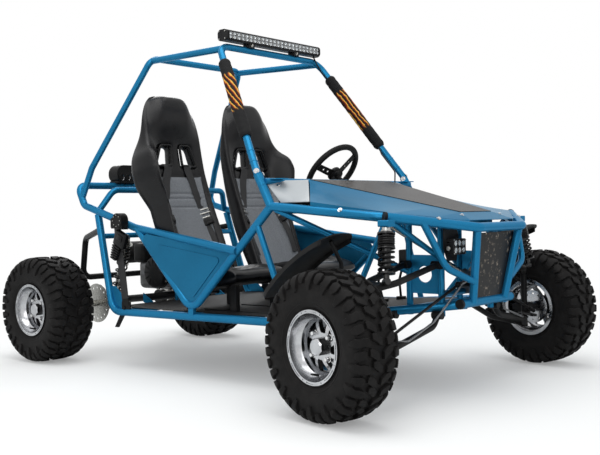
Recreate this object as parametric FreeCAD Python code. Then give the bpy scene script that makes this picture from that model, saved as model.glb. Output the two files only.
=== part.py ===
import FreeCAD, Part
import math
import os

V = FreeCAD.Vector

# A two-seat dune buggy with a welded tube frame, standing on its four tyres.
# Millimetres. +X is forward, +Y is the driver's left, +Z is up.
# The origin is on the ground, midway between the axles. The right side is modelled at -Y.

# Wheels and axles
wheelbase = 2160.0
tyre_radius = 279.0
front_track = 1614.0
rear_track = 1174.0
front_tyre_width = 196.0
rear_tyre_width = 236.0
tyre_wall = 22.0
rim_lip_radius = 137.0
rim_lip_width = 13.0
rim_seat_radius = 126.0
rim_well_radius = 110.0
rim_wall = 5.0
rim_edge_inset = 10.0
rim_dish = 62.0
window_count = 8
window_outer_radius = 97.0
window_inner_radius = 50.0
window_swirl = 12.0
lip_slot_width = 5.0
lip_slot_depth = 4.0
lip_slot_angle = 28.0
hub_radius = 40.0
front_stub_radius = 15.0
rear_axle_radius = 17.5
brake_disc_radius = 80.0
brake_disc_thickness = 4.0
sprocket_radius = 105.0
sprocket_teeth = 36
rear_hub_face = rear_tyre_width / 2 - rim_edge_inset - rim_dish - 8

# Fits and gaps
smallest_piece = 3000.0
running_clearance = 0.05
seat_clearance = 0.3
moving_clearance = 6.0

# Steering, as it stands in the photograph: turned 8.6 degrees to the right
steer_at_rest = -8.6
kingpin_half_track = 685.0
lower_ball_z = 205.0
upper_ball_z = 455.0
kingpin_radius = 8.0
upright_radius = 15.0
ball_boss_radius = 16.0
ball_boss_height = 28.0
steering_arm_forward = 95.0
steering_arm_inboard = 60.0
steering_arm_z = 256.0
pinion_radius = 17.0
rack_x = 1203.0
rack_z = 455.0
rack_bar_radius = 12.0
rack_ball_half_span = 120.0
rack_housing_half = 54.0
tie_rod_radius = 6.0
tie_rod_ball_radius = 10.0

# Tubes of the frame
main_tube = 19.0
roof_tube = 16.5
brace_tube = 14.0
arm_tube = 13.0
main_bend = 80.0
tight_bend = 55.0
plate_gauge = 4.0
sheet_gauge = 3.0

# Frame stations, right side taken as positive y and mirrored
knee_x, knee_half, knee_z = 550.0, 550.0, 795.0
pillar_bend_x, pillar_bend_half, pillar_bend_z = 471.0, 551.0, 945.0
roof_front_x, roof_front_half, roof_front_z = 62.0, 361.0, 1566.0
roof_rear_x, roof_rear_half, roof_rear_z = -482.0, 320.0, 1580.0
hoop_bend_x, hoop_bend_half, hoop_bend_z = -839.0, 450.0, 1027.0
hoop_foot_x, hoop_foot_half, hoop_foot_z = -903.0, 470.0, 868.0
tail_x, tail_half, tail_z = -935.0, 473.0, 938.0
harness_bar_x, harness_bar_half, harness_bar_z = -725.0, 398.0, 908.0
rail_rear_x, rail_rear_z = -886.0, 830.0
rail_mid_x, rail_mid_half, rail_mid_z = -440.0, 485.0, 708.0
rail_front_x, rail_front_half, rail_front_z = 340.0, 550.0, 602.0
door_foot_x, door_foot_z = 6.0, 318.0
rocker_half = 520.0
rocker_rear_x, rocker_rear_z = -615.0, 280.0
rocker_front_x, rocker_front_z = 508.0, 298.0
nose_low_x, nose_low_half, nose_low_z = 1258.0, 160.0, 380.0
nose_bar_half = 205.0
rear_leg_top_x, rear_leg_top_half, rear_leg_top_z = -765.0, 470.0, 797.0
shock_top_x, shock_top_half, shock_top_z = 1133.0, 534.0, 722.0
bumper_end_x, bumper_end_half, bumper_end_z = 1112.0, 502.0, 741.0
bumper_nose_x, bumper_nose_half, bumper_nose_z = 1332.0, 184.0, 692.0
bulkhead_half = 200.0
bulkhead_rear_x = 1010.0
bulkhead_front_x = 1165.0
bulkhead_low_z = 330.0
bulkhead_top_z = 716.0
dash_bar_x, dash_bar_z = 512.0, 903.0
socket_radius = 20.0
lug_half = 17.0

# Suspension
arm_mount_half = 232.0
lower_arm_inner_z, lower_arm_knee_half, lower_arm_knee_z, lower_arm_bend_z = 338.0, 268.0, 294.0, 246.0
upper_arm_inner_z, upper_arm_bend_z = 541.0, 488.0
arm_bend_half = 520.0
spring_wire = 4.6
front_spring_radius = 29.0
rear_spring_radius = 28.0
damper_radius = 18.0
swing_pivot_x, swing_pivot_half, swing_pivot_z = -640.0, 260.0, 330.0
swing_arm_half = 205.0
swing_arm_tube = 20.0
shock_pin_x, shock_pin_z, shock_pin_half = -940.0, 303.0, 242.0
shock_bar_x, shock_bar_half, shock_bar_z = -732.0, 477.0, 665.0
rear_shock_top_half = 300.0

# Engine and exhaust
engine_rear_x, engine_front_x = -905.0, -560.0
engine_right_y, engine_left_y = -170.0, 175.0
engine_low_z, engine_high_z = 356.0, 640.0
muffler_x, muffler_z, muffler_radius = -1010.0, 560.0, 62.0
tail_pipe_y, tail_pipe_radius, tail_pipe_length = 150.0, 14.0, 45.0

# Fenders, as bands about a line ahead of the axle and below the ground
fender_radius = 883.0
fender_forward, fender_depth = 256.0, 172.0
fender_thickness = 4.0
fender_front_angle = 106.0
fender_rear_angle = 138.0
fender_inner = 661.0
fender_outer = 821.0
fender_corner = 55.0
fender_lip = 18.0
fender_crown = 10.0

# Hood sections from the dash to the nose: x, half width and height of the top, then of the lower edge
hood_stations = [
    (561.0, 307.0, 911.0, 552.0, 838.0),
    (755.0, 254.0, 864.6, 535.0, 809.0),
    (1120.0, 154.0, 777.4, 470.0, 757.0),
    (1218.0, 127.0, 754.0, 312.0, 736.0),
    (1290.0, 178.0, 722.0, 186.0, 717.0),
]
hood_flange = 15.0
dash_panel_x, dash_panel_half = 531.0, 480.0
grille_top_half, grille_low_half = 160.0, 112.0

# Seats
seat_half = 275.0
seat_width = 440.0
seat_hip_x, seat_hip_z = -150.0, 400.0
seat_front_x, seat_front_z = 235.0, 455.0
seat_top_x, seat_top_z = -462.0, 1372.0
seat_pad = 62.0
bolster_width = 78.0
bolster_rise = 72.0
slot_low, slot_high = 0.69, 0.795
strap_width = 46.0
strap_gauge = 2.5
floor_z = 304.0

# Steering column
wheel_centre = V(221.0, 275.0, 975.0)
column_tilt = 39.0
column_length = 430.0
column_radius = 12.0
joint_gap = 8.0
pinion_point = V(1172.0, 34.0, 472.0)
lower_shaft_radius = 9.0
wheel_rim_radius = 155.0
wheel_grip_radius = 15.0
wheel_dish = 26.0

# Lamps
light_bar_x, light_bar_half = 68.0, 345.0
light_bar_low_z, light_bar_high_z = 1592.0, 1643.0
light_bar_depth = 60.0
light_bar_foot_half = 165.0
cable_radius = 3.5
pod_x, pod_half, pod_z = 1232.0, 228.0, 617.0
pad_start, pad_length, pad_radius = 195.0, 465.0, 29.0

# Derived places
front_axle_x = wheelbase / 2
rear_axle_x = -wheelbase / 2
axle_z = tyre_radius
front_wheel_half = front_track / 2
rear_wheel_half = rear_track / 2
rack_at_rest = steering_arm_forward * math.sin(math.radians(steer_at_rest))
steering_ratio = steering_arm_forward / pinion_radius
pillar_low = V(pillar_bend_x, pillar_bend_half, pillar_bend_z)
pillar_high = V(roof_front_x, roof_front_half, roof_front_z)
pillar_along = (pillar_high - pillar_low).normalize()


def mirrored(shape):
    return shape.mirror(V(0, 0, 0), V(0, 1, 0))


def both_sides(shape):
    return Part.makeCompound([shape, mirrored(shape)])


def joined(shapes):
    solid = shapes[0]
    if len(shapes) > 1:
        solid = solid.multiFuse(shapes[1:])
    return solid.removeSplitter()


def coped(shape, others):
    """A piece notched to fit against the pieces that it is welded to, without the scraps beyond a joint."""
    for other in others:
        if shape.BoundBox.intersect(other.BoundBox):
            shape = shape.cut(other)
    return Part.makeCompound([solid for solid in shape.Solids if solid.Volume > smallest_piece])


def rod(start, end, radius):
    start, end = V(*start), V(*end)
    return Part.makeCylinder(radius, (end - start).Length, start, end - start)


def bend_middle(before, corner, after, bend):
    """The middle of the bend that rounds a corner."""
    along, away = (corner - before).normalize(), (after - corner).normalize()
    half_turn = along.getAngle(away) / 2
    return corner + (away - along).normalize() * (bend / math.cos(half_turn) - bend)


def bent_tube(points, radius, bend):
    """A round tube along straight runs joined by tangent bends."""
    corners = [V(*p) for p in points]
    edges = []
    start = corners[0]
    for before, corner, after in zip(corners, corners[1:], corners[2:]):
        along = (corner - before).normalize()
        away = (after - corner).normalize()
        half_turn = along.getAngle(away) / 2
        setback = bend * math.tan(half_turn)
        first = corner - along * setback
        last = corner + away * setback
        edges.append(Part.LineSegment(start, first).toShape())
        edges.append(Part.Arc(first, bend_middle(before, corner, after, bend), last).toShape())
        start = last
    edges.append(Part.LineSegment(start, corners[-1]).toShape())
    ring = Part.Wire(Part.makeCircle(radius, corners[0], corners[1] - corners[0]))
    return Part.Wire(edges).makePipeShell([ring], True, False)


def hoop(half, radius, bend):
    """A tube that is the same on both sides, from the points of its right half."""
    points = [(x, -y, z) for x, y, z in half] + half[::-1]
    return bent_tube(points, radius, bend)


def plate(points, thickness_vector):
    corners = [V(*p) for p in points]
    return Part.Face(Part.makePolygon(corners + corners[:1])).extrude(V(*thickness_vector))


def block(low, high):
    return Part.makeBox(high[0] - low[0], high[1] - low[1], high[2] - low[2], V(*low))


def softened(solid, radius, direction):
    """Rounds every straight edge that runs along a direction."""
    along = V(*direction).normalize()
    picked = []
    for edge in solid.Edges:
        run = edge.Vertexes[-1].Point - edge.Vertexes[0].Point
        if isinstance(edge.Curve, Part.Line) and run.Length > 0 and abs(run.normalize().dot(along)) > 0.9999:
            picked.append(edge)
    return solid.makeFillet(radius, picked)


def profile(steps):
    """A face in the YZ plane. A step is a corner, or an arc given by its middle and its end."""
    edges = []
    at = steps[0]
    for step in steps[1:] + [steps[0]]:
        end = step[-2:]
        if len(step) == 4:
            edges.append(Part.Arc(V(0, *at), V(0, *step[:2]), V(0, *end)).toShape())
        elif math.dist(at, end) > 0.001:
            edges.append(Part.LineSegment(V(0, *at), V(0, *end)).toShape())
        at = end
    return Part.Face(Part.Wire(edges))


def turned(steps):
    """A solid of revolution about the wheel axis, from an outline of (distance along it, radius)."""
    return profile(steps).revolve(V(0, 0, 0), V(0, 1, 0), 360)


def ring_of(shape, count, start=0.0):
    """Copies of a shape spaced evenly about the wheel axis."""
    copies = []
    for i in range(count):
        copy = shape.copy()
        copy.rotate(V(0, 0, 0), V(0, 1, 0), start + 360.0 * i / count)
        copies.append(copy)
    return Part.makeCompound(copies)


# Frame


def rail_point(x):
    """Half width and height of the tapering lower rail at a station."""
    share = (x - rocker_front_x) / (nose_low_x - rocker_front_x)
    return (rocker_half + (nose_low_half - rocker_half) * share,
            rocker_front_z + (nose_low_z - rocker_front_z) * share)


def lower_frame():
    """Rocker rails that taper and rise to the nose, their rear legs and the cross tubes."""
    rail = bent_tube([
        (rear_leg_top_x, rear_leg_top_half, rear_leg_top_z - main_tube),
        (rocker_rear_x - 5, 500, rocker_rear_z),
        (rocker_front_x, rocker_half, rocker_front_z),
        (nose_low_x, nose_low_half, nose_low_z),
    ], main_tube, main_bend)
    pivot_tube_x = rocker_rear_x + 60
    ear_low, ear_high = swing_pivot_half + seat_clearance, swing_pivot_half + 6
    ear = plate([
        (pivot_tube_x, ear_low, rocker_rear_z - 12),
        (swing_pivot_x - 24, ear_low, swing_pivot_z - 24),
        (swing_pivot_x - 24, ear_low, swing_pivot_z + 24),
        (pivot_tube_x, ear_low, rocker_rear_z + 12),
    ], (0, ear_high - ear_low, 0))
    engine_post = rod((pivot_tube_x - 15, 110, rocker_rear_z), (pivot_tube_x - 15, 110, engine_low_z), 10)
    belt_gusset = plate([
        (-650, 491, 410), (-602, 491, 410), (-492, 491, 318), (-492, 491, 284), (-612, 491, 284),
    ], (0, plate_gauge, 0))
    door_lug = softened(block((door_foot_x - lug_half, rocker_half - 9, rocker_rear_z + 10),
                              (door_foot_x + lug_half, rocker_half + 9, door_foot_z + 22)), 5, (1, 0, 0))
    pieces = []
    for shape in (rail, ear, engine_post, belt_gusset, door_lug):
        pieces += [shape, mirrored(shape)]
    crossings = [(shock_bar_x, shock_bar_half, shock_bar_z), (pivot_tube_x, rocker_half, rocker_rear_z),
                 (-180, rocker_half, 288), (250, rocker_half, 294), (rocker_front_x, rocker_half, rocker_front_z)]
    crossings += [(x,) + rail_point(x) for x in (bulkhead_rear_x, bulkhead_front_x)]
    for x, half, z in crossings:
        pieces.append(rod((x, 5 - half, z), (x, half - 5, z), brace_tube))
    pieces.append(rod((nose_low_x, -nose_bar_half, nose_low_z + 4), (nose_low_x, nose_bar_half, nose_low_z + 4),
                      main_tube))
    return joined(pieces)


def rear_loop():
    """Side rails and the tail tube in one bent length, with the harness bar."""
    loop = hoop([
        (rail_front_x, rail_front_half, rail_front_z),
        (rail_mid_x, rail_mid_half, rail_mid_z),
        (rail_rear_x, tail_half - 4, rail_rear_z),
        (tail_x, tail_half, tail_z),
    ], main_tube, tight_bend - 8)
    harness_bar = hoop([
        (harness_bar_x - 50, 462, 795),
        (harness_bar_x, harness_bar_half, harness_bar_z),
    ], roof_tube, tight_bend)
    return joined([loop, harness_bar])


def door_frame():
    """The V of tube under the door panel, with its front brace."""
    vee = bent_tube([
        (-420, 488, 705),
        (door_foot_x, rocker_half, door_foot_z),
        (knee_x, knee_half, knee_z),
    ], main_tube, main_bend)
    brace = rod((470, 549, 712), (600, 508, 312), brace_tube)
    return joined([vee, brace])


def pillar_hoop():
    """Front roof hoop of one tube, with the sleeves that bolt its feet to the frame."""
    half = [
        (knee_x, knee_half, knee_z),
        (pillar_bend_x, pillar_bend_half, pillar_bend_z),
        (roof_front_x, roof_front_half, roof_front_z),
    ]
    foot = V(*half[0])
    along = (V(*half[1]) - foot).normalize()
    length = (V(*half[1]) - foot).Length - 12
    socket = Part.makeCylinder(socket_radius, length, foot, along)
    for distance in (length - 62, length - 4):
        groove = Part.makeCylinder(socket_radius + 1, 2, foot + along * distance, along)
        socket = socket.cut(groove.cut(Part.makeCylinder(socket_radius - 1.2, 2, foot + along * distance, along)))
    ear = block((-lug_half - 12, -4, -6), (lug_half + 12, 4, 6))
    ear.rotate(V(0, 0, 0), V(0, 1, 0), 30)
    ear.translate(foot + along * (length - 16))
    return joined([hoop(half, roof_tube, main_bend), socket, mirrored(socket), ear, mirrored(ear)])


def rear_hoop():
    return hoop([
        (hoop_foot_x, hoop_foot_half, hoop_foot_z),
        (hoop_bend_x, hoop_bend_half, hoop_bend_z),
        (roof_rear_x, roof_rear_half, roof_rear_z),
    ], roof_tube, tight_bend)


def roof_rail():
    """Side rail of the roof, from bend to bend of the two hoops."""
    rear = V(roof_rear_x, roof_rear_half, roof_rear_z)
    across = V(0, roof_front_half, 0)
    hoop_bend = V(hoop_bend_x, hoop_bend_half, hoop_bend_z)
    return rod(tuple(bend_middle(hoop_bend, rear, rear - across, tight_bend)),
               tuple(bend_middle(pillar_low, pillar_high, pillar_high - across, main_bend)), roof_tube)


def dash_bar():
    """Cross tube behind the hood with its two flattened tabs for the cowl."""
    bar = rod((dash_bar_x, -545, dash_bar_z), (dash_bar_x, 545, dash_bar_z), brace_tube)
    tab = softened(plate([
        (dash_bar_x, 440, dash_bar_z + 8), (dash_bar_x, 525, dash_bar_z + 8),
        (dash_bar_x + 62, 500, dash_bar_z + 8), (dash_bar_x + 62, 460, dash_bar_z + 8),
    ], (0, 0, plate_gauge)), 8, (0, 0, 1))
    return joined([bar, tab, mirrored(tab)])


def front_frame():
    """Left upper rail with its shock tower and the braces down to the lower rail and the bulkhead."""
    tower = (1105, 490, 735)
    pieces = [
        bent_tube([(knee_x, knee_half, knee_z), (1075, 498, 742), (1250, 262, 705)], main_tube, main_bend),
        rod(tower, (bulkhead_front_x - 3, bulkhead_half - 3, 566), brace_tube - 2),
        rod(tower, (800, 365, 322), brace_tube - 2),
        rod((knee_x + 20, 545, 782), (bulkhead_rear_x + 3, bulkhead_half - 3, 505), brace_tube - 1),
        softened(block((1108, 512, 704), (1158, 556, 730)), 6, (1, 0, 0)),
    ]
    return joined(pieces)


def bulkhead():
    """The box of tubes between the front wheels that carries the arms and the rack."""
    pieces = []
    for side in (-1, 1):
        y = side * bulkhead_half
        for x in (bulkhead_rear_x, bulkhead_front_x):
            pieces.append(rod((x, y, bulkhead_low_z), (x, y, bulkhead_top_z), brace_tube))
        web = plate([(bulkhead_rear_x, y, 420), (bulkhead_front_x, y, 420), (bulkhead_front_x, y, 580),
                     (bulkhead_rear_x, y, 580)], (0, side * plate_gauge, 0))
        hole = rod(((bulkhead_rear_x + bulkhead_front_x) / 2, y - 20, 500),
                   ((bulkhead_rear_x + bulkhead_front_x) / 2, y + 20, 500), 34)
        pieces.append(web.cut(hole))
    for x in (bulkhead_rear_x, bulkhead_front_x):
        pieces.append(rod((x, -bulkhead_half, bulkhead_top_z), (x, bulkhead_half, bulkhead_top_z), brace_tube))
    z = rack_z - 34
    pieces.append(rod((bulkhead_front_x, -bulkhead_half, z), (bulkhead_front_x, bulkhead_half, z), brace_tube))
    return joined(pieces)


def front_bumper():
    """Hoop round the nose, the uprights beside the grille and their side tubes."""
    pieces = [hoop([
        (bumper_end_x, bumper_end_half, bumper_end_z),
        (bumper_nose_x, bumper_nose_half, bumper_nose_z),
    ], main_tube, tight_bend)]
    upright = rod((1322, 176, 690), (nose_low_x + 12, 131, 386), main_tube - 2)
    side_tube = bent_tube([(1198, 383, 722), (1262, 318, 536), (1288, 150, 472)], brace_tube, main_bend)
    for shape in (upright, side_tube):
        pieces += [shape, mirrored(shape)]
    return joined(pieces)


def tube_plugs():
    """Pressed-in caps that close the open tube ends at the nose."""
    plugs = []
    for side in (-1, 1):
        end = V(bumper_end_x, side * bumper_end_half, bumper_end_z)
        inward = (V(bumper_nose_x, side * bumper_nose_half, bumper_nose_z) - end).normalize()
        plugs.append(Part.makeCylinder(main_tube + 1, 12, end - inward * 12, inward))
        plugs.append(rod((nose_low_x, side * nose_bar_half, nose_low_z + 4),
                         (nose_low_x, side * (nose_bar_half + 14), nose_low_z + 4), main_tube + 1))
    return [plug.makeFillet(3, [edge for edge in plug.Edges if isinstance(edge.Curve, Part.Circle)][:1])
            for plug in plugs]


# Wheels


def rim_window():
    """One opening between two swept spokes, as a prism along the wheel axis."""
    def at(radius, degrees):
        a = math.radians(degrees)
        return V(radius * math.sin(a), 0, radius * math.cos(a))

    pitch = 360.0 / window_count
    outer_half = pitch / 2 - 4.5
    inner_half = pitch / 2 - 8.5
    middle_radius = (window_outer_radius + window_inner_radius) / 2
    corners = [(window_outer_radius, -outer_half), (window_outer_radius, outer_half),
               (window_inner_radius, window_swirl + inner_half), (window_inner_radius, window_swirl - inner_half)]
    middles = [(window_outer_radius, 0.0), (middle_radius, window_swirl / 3 + (outer_half + inner_half) / 2),
               (window_inner_radius, window_swirl), (middle_radius, window_swirl / 3 - (outer_half + inner_half) / 2)]
    edges = []
    for i in range(4):
        edges.append(Part.Arc(at(*corners[i]), at(*middles[i]), at(*corners[(i + 1) % 4])).toShape())
    prism = Part.Face(Part.Wire(edges)).extrude(V(0, 80, 0))
    return softened(prism, 7, (0, 1, 0))


def rim_solid(width):
    """Deep-dish rim, outboard towards +Y and centred on its tyre, with slotted lip and swept spokes."""
    half = width / 2 - rim_edge_inset
    lip, seat, well, wall = rim_lip_radius, rim_seat_radius, rim_well_radius, rim_wall
    face = half - rim_dish
    barrel = turned([
        (-half, lip), (-half + 6, lip), (-half + 6, seat + 3), (-half + 24, seat),
        (-half + 34, seat - 2, -half + 42, well), (half - 42, well), (half - 34, seat - 2, half - 24, seat),
        (half - 6, seat + 3), (half - 6, lip), (half, lip), (half, lip - rim_lip_width),
        (half - 22, seat - wall - 3, half - 44, well - wall),
        (-half + 44, well - wall), (-half + 22, seat - wall - 3, -half, seat - wall),
    ])
    disc = turned([
        (face - 24, well - 2), (face - 14, 76, face - 8, hub_radius), (face - 8, 0), (face + 12, 0),
        (face + 12, hub_radius + 6), (face + 6, 80, face - 12, well - 2),
    ])
    window = rim_window()
    window.translate(V(0, face - 44, 0))
    slot_radius = lip - rim_lip_width / 2 + 0.5
    slot_face = profile([
        (half - lip_slot_depth, slot_radius - lip_slot_width / 2), (half + 1, slot_radius - lip_slot_width / 2),
        (half + 1, slot_radius + lip_slot_width / 2), (half - lip_slot_depth, slot_radius + lip_slot_width / 2),
    ])
    slot_face.rotate(V(0, 0, 0), V(0, 1, 0), -lip_slot_angle / 2)
    slot = slot_face.revolve(V(0, 0, 0), V(0, 1, 0), lip_slot_angle)
    hole = Part.makeCylinder(lip_slot_width / 2 + 0.4, lip_slot_depth + 1, V(0, half - lip_slot_depth, slot_radius),
                             V(0, 1, 0))
    pitch = 360.0 / window_count
    return barrel.fuse(disc).cut([ring_of(window, window_count), ring_of(slot, window_count),
                                  ring_of(hole, window_count, pitch / 2)]).removeSplitter()


def tyre_solid(width):
    """Low-pressure tyre on its bead seats, centred on its rim, with round shoulders."""
    half = width / 2
    seat = rim_seat_radius + seat_clearance
    bead = half - rim_edge_inset - 6 - seat_clearance
    crown = tyre_radius
    shoulder = crown - 26
    crown_half = half - 44
    inner = crown - tyre_wall
    return turned([
        (-bead, seat + 6), (-bead, rim_lip_radius + 4), (-half, 196, -half + 10, shoulder - 8),
        (-half + 20, crown - 10, -crown_half, crown - 2), (0, crown, crown_half, crown - 2),
        (half - 20, crown - 10, half - 10, shoulder - 8), (half, 196, bead, rim_lip_radius + 4),
        (bead, seat + 6), (bead - 14, seat + 4), (half - tyre_wall, 196), (crown_half - 6, inner - 4),
        (6 - crown_half, inner - 4), (tyre_wall - half, 196), (14 - bead, seat + 4),
    ])


def placed_wheel(solid, side, x, half_track):
    if side < 0:
        solid = mirrored(solid)
    solid.translate(V(x, side * half_track, axle_z))
    return solid


def steered(shape, side):
    shape.rotate(V(front_axle_x, side * kingpin_half_track, 0), V(0, 0, 1), steer_at_rest)
    return shape


def hub_cap(start, reach):
    """Round centre cap with eight flats, standing on the wheel face."""
    cap = turned([(start, 0), (start, 33), (start + reach - 6, 33), (start + reach, 26), (start + reach, 0)])
    flat = block((-40, start - 1, 30.5), (40, start + reach + 1, 50))
    return cap.cut(ring_of(flat, 8))


def front_rim(side):
    bore_radius = front_stub_radius + running_clearance
    hub_front = front_tyre_width / 2 - rim_edge_inset - rim_dish + 8
    hub = turned([(-45, 0), (-45, hub_radius), (hub_front, hub_radius), (hub_front, 0)])
    disc_y = -50.0
    brake = turned([(disc_y, 24), (disc_y, brake_disc_radius), (disc_y + brake_disc_thickness, brake_disc_radius),
                    (disc_y + brake_disc_thickness, hub_radius), (disc_y + 6, hub_radius), (disc_y + 6, 24)])
    vent = Part.makeCylinder(5, 20, V(0, disc_y - 5, 64), V(0, 1, 0))
    bore = turned([(-60, 0), (-60, bore_radius), (31, bore_radius), (31, 0)])
    solid = rim_solid(front_tyre_width).fuse([hub, brake.cut(ring_of(vent, 12)), hub_cap(hub_front, 36)])
    return steered(placed_wheel(solid.cut(bore).removeSplitter(), side, front_axle_x, front_wheel_half), side)


def front_tyre(side):
    return steered(placed_wheel(tyre_solid(front_tyre_width), side, front_axle_x, front_wheel_half), side)


def knuckle(side):
    """Kingpin upright with its stub axle, steering arm, brake caliper and fender bracket."""
    k = kingpin_half_track
    x, y = front_axle_x, side * k
    foot = lower_ball_z + ball_boss_height / 2 + moving_clearance / 6
    head = upper_ball_z - ball_boss_height / 2 - moving_clearance / 6
    disc_y = front_wheel_half - 48.0
    pieces = [
        rod((x, y, foot), (x, y, head), upright_radius),
        rod((x, y, lower_ball_z - 16), (x, y, foot), kingpin_radius),
        rod((x, y, head), (x, y, upper_ball_z + 16), kingpin_radius),
        rod((x, y, axle_z), (x, side * (front_wheel_half + 30), axle_z), front_stub_radius),
        rod((x, y, axle_z), (x, side * (k + 40), axle_z), 26),
    ]
    tip = (x + steering_arm_forward, side * (k - steering_arm_inboard))
    arm_length = math.hypot(steering_arm_forward, steering_arm_inboard)
    arm = block((0, -14, steering_arm_z - 6), (arm_length, 14, steering_arm_z + 4))
    arm.rotate(V(0, 0, 0), V(0, 0, 1), math.degrees(math.atan2(-side * steering_arm_inboard, steering_arm_forward)))
    arm.translate(V(x, y, 0))
    pieces.append(arm)
    pieces.append(rod((tip[0], tip[1], steering_arm_z - 6), (tip[0], tip[1], steering_arm_z + 4), 16))
    caliper = softened(block((x - 92, disc_y - 20, axle_z - 30), (x - 50, disc_y + 20, axle_z + 30)), 8, (0, 1, 0))
    gap = block((x - 87, disc_y - 8, axle_z - 40), (x - 40, disc_y + 8, axle_z + 40))
    carrier = block((x - 76, k + 8, axle_z - 14), (x - 10, k + 16, axle_z + 14))
    reach = block((x - 76, k + 8, axle_z - 14), (x - 58, disc_y - 10, axle_z + 14))
    brake = caliper.cut(gap).fuse([carrier, reach])
    pieces.append(brake if side > 0 else mirrored(brake))
    pieces.append(bent_tube([
        (x - 6, y, 405),
        (x - 48, side * (k - 4), 425),
        (x - 52, side * (k + 6), 570),
        (x - 60, side * (k + 50), math.sqrt(fender_radius ** 2 - (fender_forward + 60) ** 2) - fender_depth + 2),
    ], 8, 18))
    return steered(joined(pieces), side)


def fender(side):
    """Moulded mudguard that turns with the knuckle: a crowned band with round corners and down-turned edges."""
    r, t, low, high = fender_radius, fender_thickness, fender_inner, fender_outer
    middle = (low + high) / 2
    section = profile([
        (low, r - fender_lip), (low + t, r - fender_lip), (low + t, r - t), (low + 22, r),
        (middle, r + fender_crown - t, high - 22, r), (high - t, r - t), (high - t, r - fender_lip),
        (high, r - fender_lip), (high, r), (high - 20, r + t),
        (middle, r + fender_crown, low + 20, r + t), (low, r),
    ])
    section.rotate(V(0, 0, 0), V(0, 1, 0), 90 - fender_rear_angle)
    band = section.revolve(V(0, 0, 0), V(0, 1, 0), fender_rear_angle - fender_front_angle)
    ends = [r * math.cos(math.radians(angle)) for angle in (fender_rear_angle, fender_front_angle)]
    plan = softened(block((ends[0], low, 0), (ends[1], high, r * 2)), fender_corner, (0, 0, 1))
    band = band.common(plan)
    band.translate(V(front_axle_x + fender_forward, 0, -fender_depth))
    if side < 0:
        band = mirrored(band)
    return steered(band, side)


def rear_axle():
    """Live axle with its hubs, brake disc and sprocket, turning as one."""
    x, z = rear_axle_x, axle_z
    pieces = [rod((x, -(rear_wheel_half + 30), z), (x, rear_wheel_half + 30, z), rear_axle_radius)]
    for side in (-1, 1):
        pieces.append(rod((x, side * (rear_wheel_half - 40), z), (x, side * (rear_wheel_half + rear_hub_face), z),
                          hub_radius))
    disc = turned([(-262, 15), (-262, 110), (-258, 110), (-258, hub_radius), (-250, hub_radius), (-250, 15)])
    vent = Part.makeCylinder(6, 20, V(0, -270, 88), V(0, 1, 0))
    disc = disc.cut(ring_of(vent, 16))
    sprocket = turned([(256, 15), (256, sprocket_radius), (263, sprocket_radius), (263, hub_radius),
                       (270, hub_radius), (270, 15)])
    root = Part.makeCylinder(5.2, 20, V(0, 250, sprocket_radius + 1.5), V(0, 1, 0))
    lightening = Part.makeCylinder(14, 20, V(0, 250, 70), V(0, 1, 0))
    sprocket = sprocket.cut([ring_of(root, sprocket_teeth), ring_of(lightening, 6)])
    for wheel in (disc, sprocket):
        wheel.translate(V(x, 0, z))
        pieces.append(wheel)
    return joined(pieces)


def rear_rims():
    rims = []
    for side in (-1, 1):
        bore = turned([(-60, 0), (-60, hub_radius), (rear_hub_face, hub_radius), (rear_hub_face, 0)])
        cap_start = rear_tyre_width / 2 - rim_edge_inset - rim_dish + 10
        solid = rim_solid(rear_tyre_width).fuse(hub_cap(cap_start, 30)).cut(bore).removeSplitter()
        rims.append(placed_wheel(solid, side, rear_axle_x, rear_wheel_half))
    return Part.makeCompound(rims)


def rear_tyres():
    return Part.makeCompound([
        placed_wheel(tyre_solid(rear_tyre_width), side, rear_axle_x, rear_wheel_half) for side in (-1, 1)])


# Suspension


def control_arm(inner_z, knees, ball_z, front_x, rear_x, rear_inner):
    """Wishbone of two bent tubes with bushes, a ball boss and a plate web near its tip."""
    k = kingpin_half_track
    tip_front = (front_axle_x + 6, k - 12, ball_z)
    tip_rear = (front_axle_x - 6, k - 12, ball_z)
    front = bent_tube([(front_x, arm_mount_half, inner_z)] + [(front_x, y, z) for y, z in knees] + [tip_front],
                      arm_tube, tight_bend)
    rear_knee_y, rear_knee_z = knees[-1]
    rear = bent_tube([(rear_x, rear_inner, inner_z), (rear_x + 15, rear_knee_y - 20, rear_knee_z + 3), tip_rear],
                     arm_tube, tight_bend)
    pieces = [front, rear]
    for x, y in ((front_x, arm_mount_half), (rear_x, rear_inner)):
        pieces.append(rod((x - 22, y, inner_z), (x + 22, y, inner_z), 17))
    pieces.append(rod((front_axle_x, k, ball_z - ball_boss_height / 2), (front_axle_x, k, ball_z + ball_boss_height / 2),
                      ball_boss_radius))
    pieces.append(plate([
        (front_x, rear_knee_y, rear_knee_z - 2), (rear_x + 15, rear_knee_y, rear_knee_z - 2),
        (front_axle_x - 8, k - 12, ball_z - 2), (front_axle_x + 8, k - 12, ball_z - 2),
    ], (0, 0, plate_gauge)))
    bore = rod((front_axle_x, k, ball_z - 40), (front_axle_x, k, ball_z + 40), kingpin_radius + running_clearance)
    return joined(pieces).cut(bore)


def lower_arm():
    return control_arm(lower_arm_inner_z, [(lower_arm_knee_half, lower_arm_knee_z), (arm_bend_half, lower_arm_bend_z)],
                       lower_ball_z, bulkhead_front_x, bulkhead_rear_x - 20, 300)


def upper_arm():
    return control_arm(upper_arm_inner_z, [(arm_bend_half, upper_arm_bend_z)],
                       upper_ball_z, bulkhead_front_x, bulkhead_rear_x, arm_mount_half)


def along_strut(shape, top, bottom):
    """Moves a shape modelled down from the origin onto the line of a strut."""
    axis = (V(*bottom) - V(*top)).normalize()
    turn = FreeCAD.Rotation(V(0, 0, 1), axis)
    shape.Placement = FreeCAD.Placement(V(*top), turn).multiply(shape.Placement)
    return shape


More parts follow.
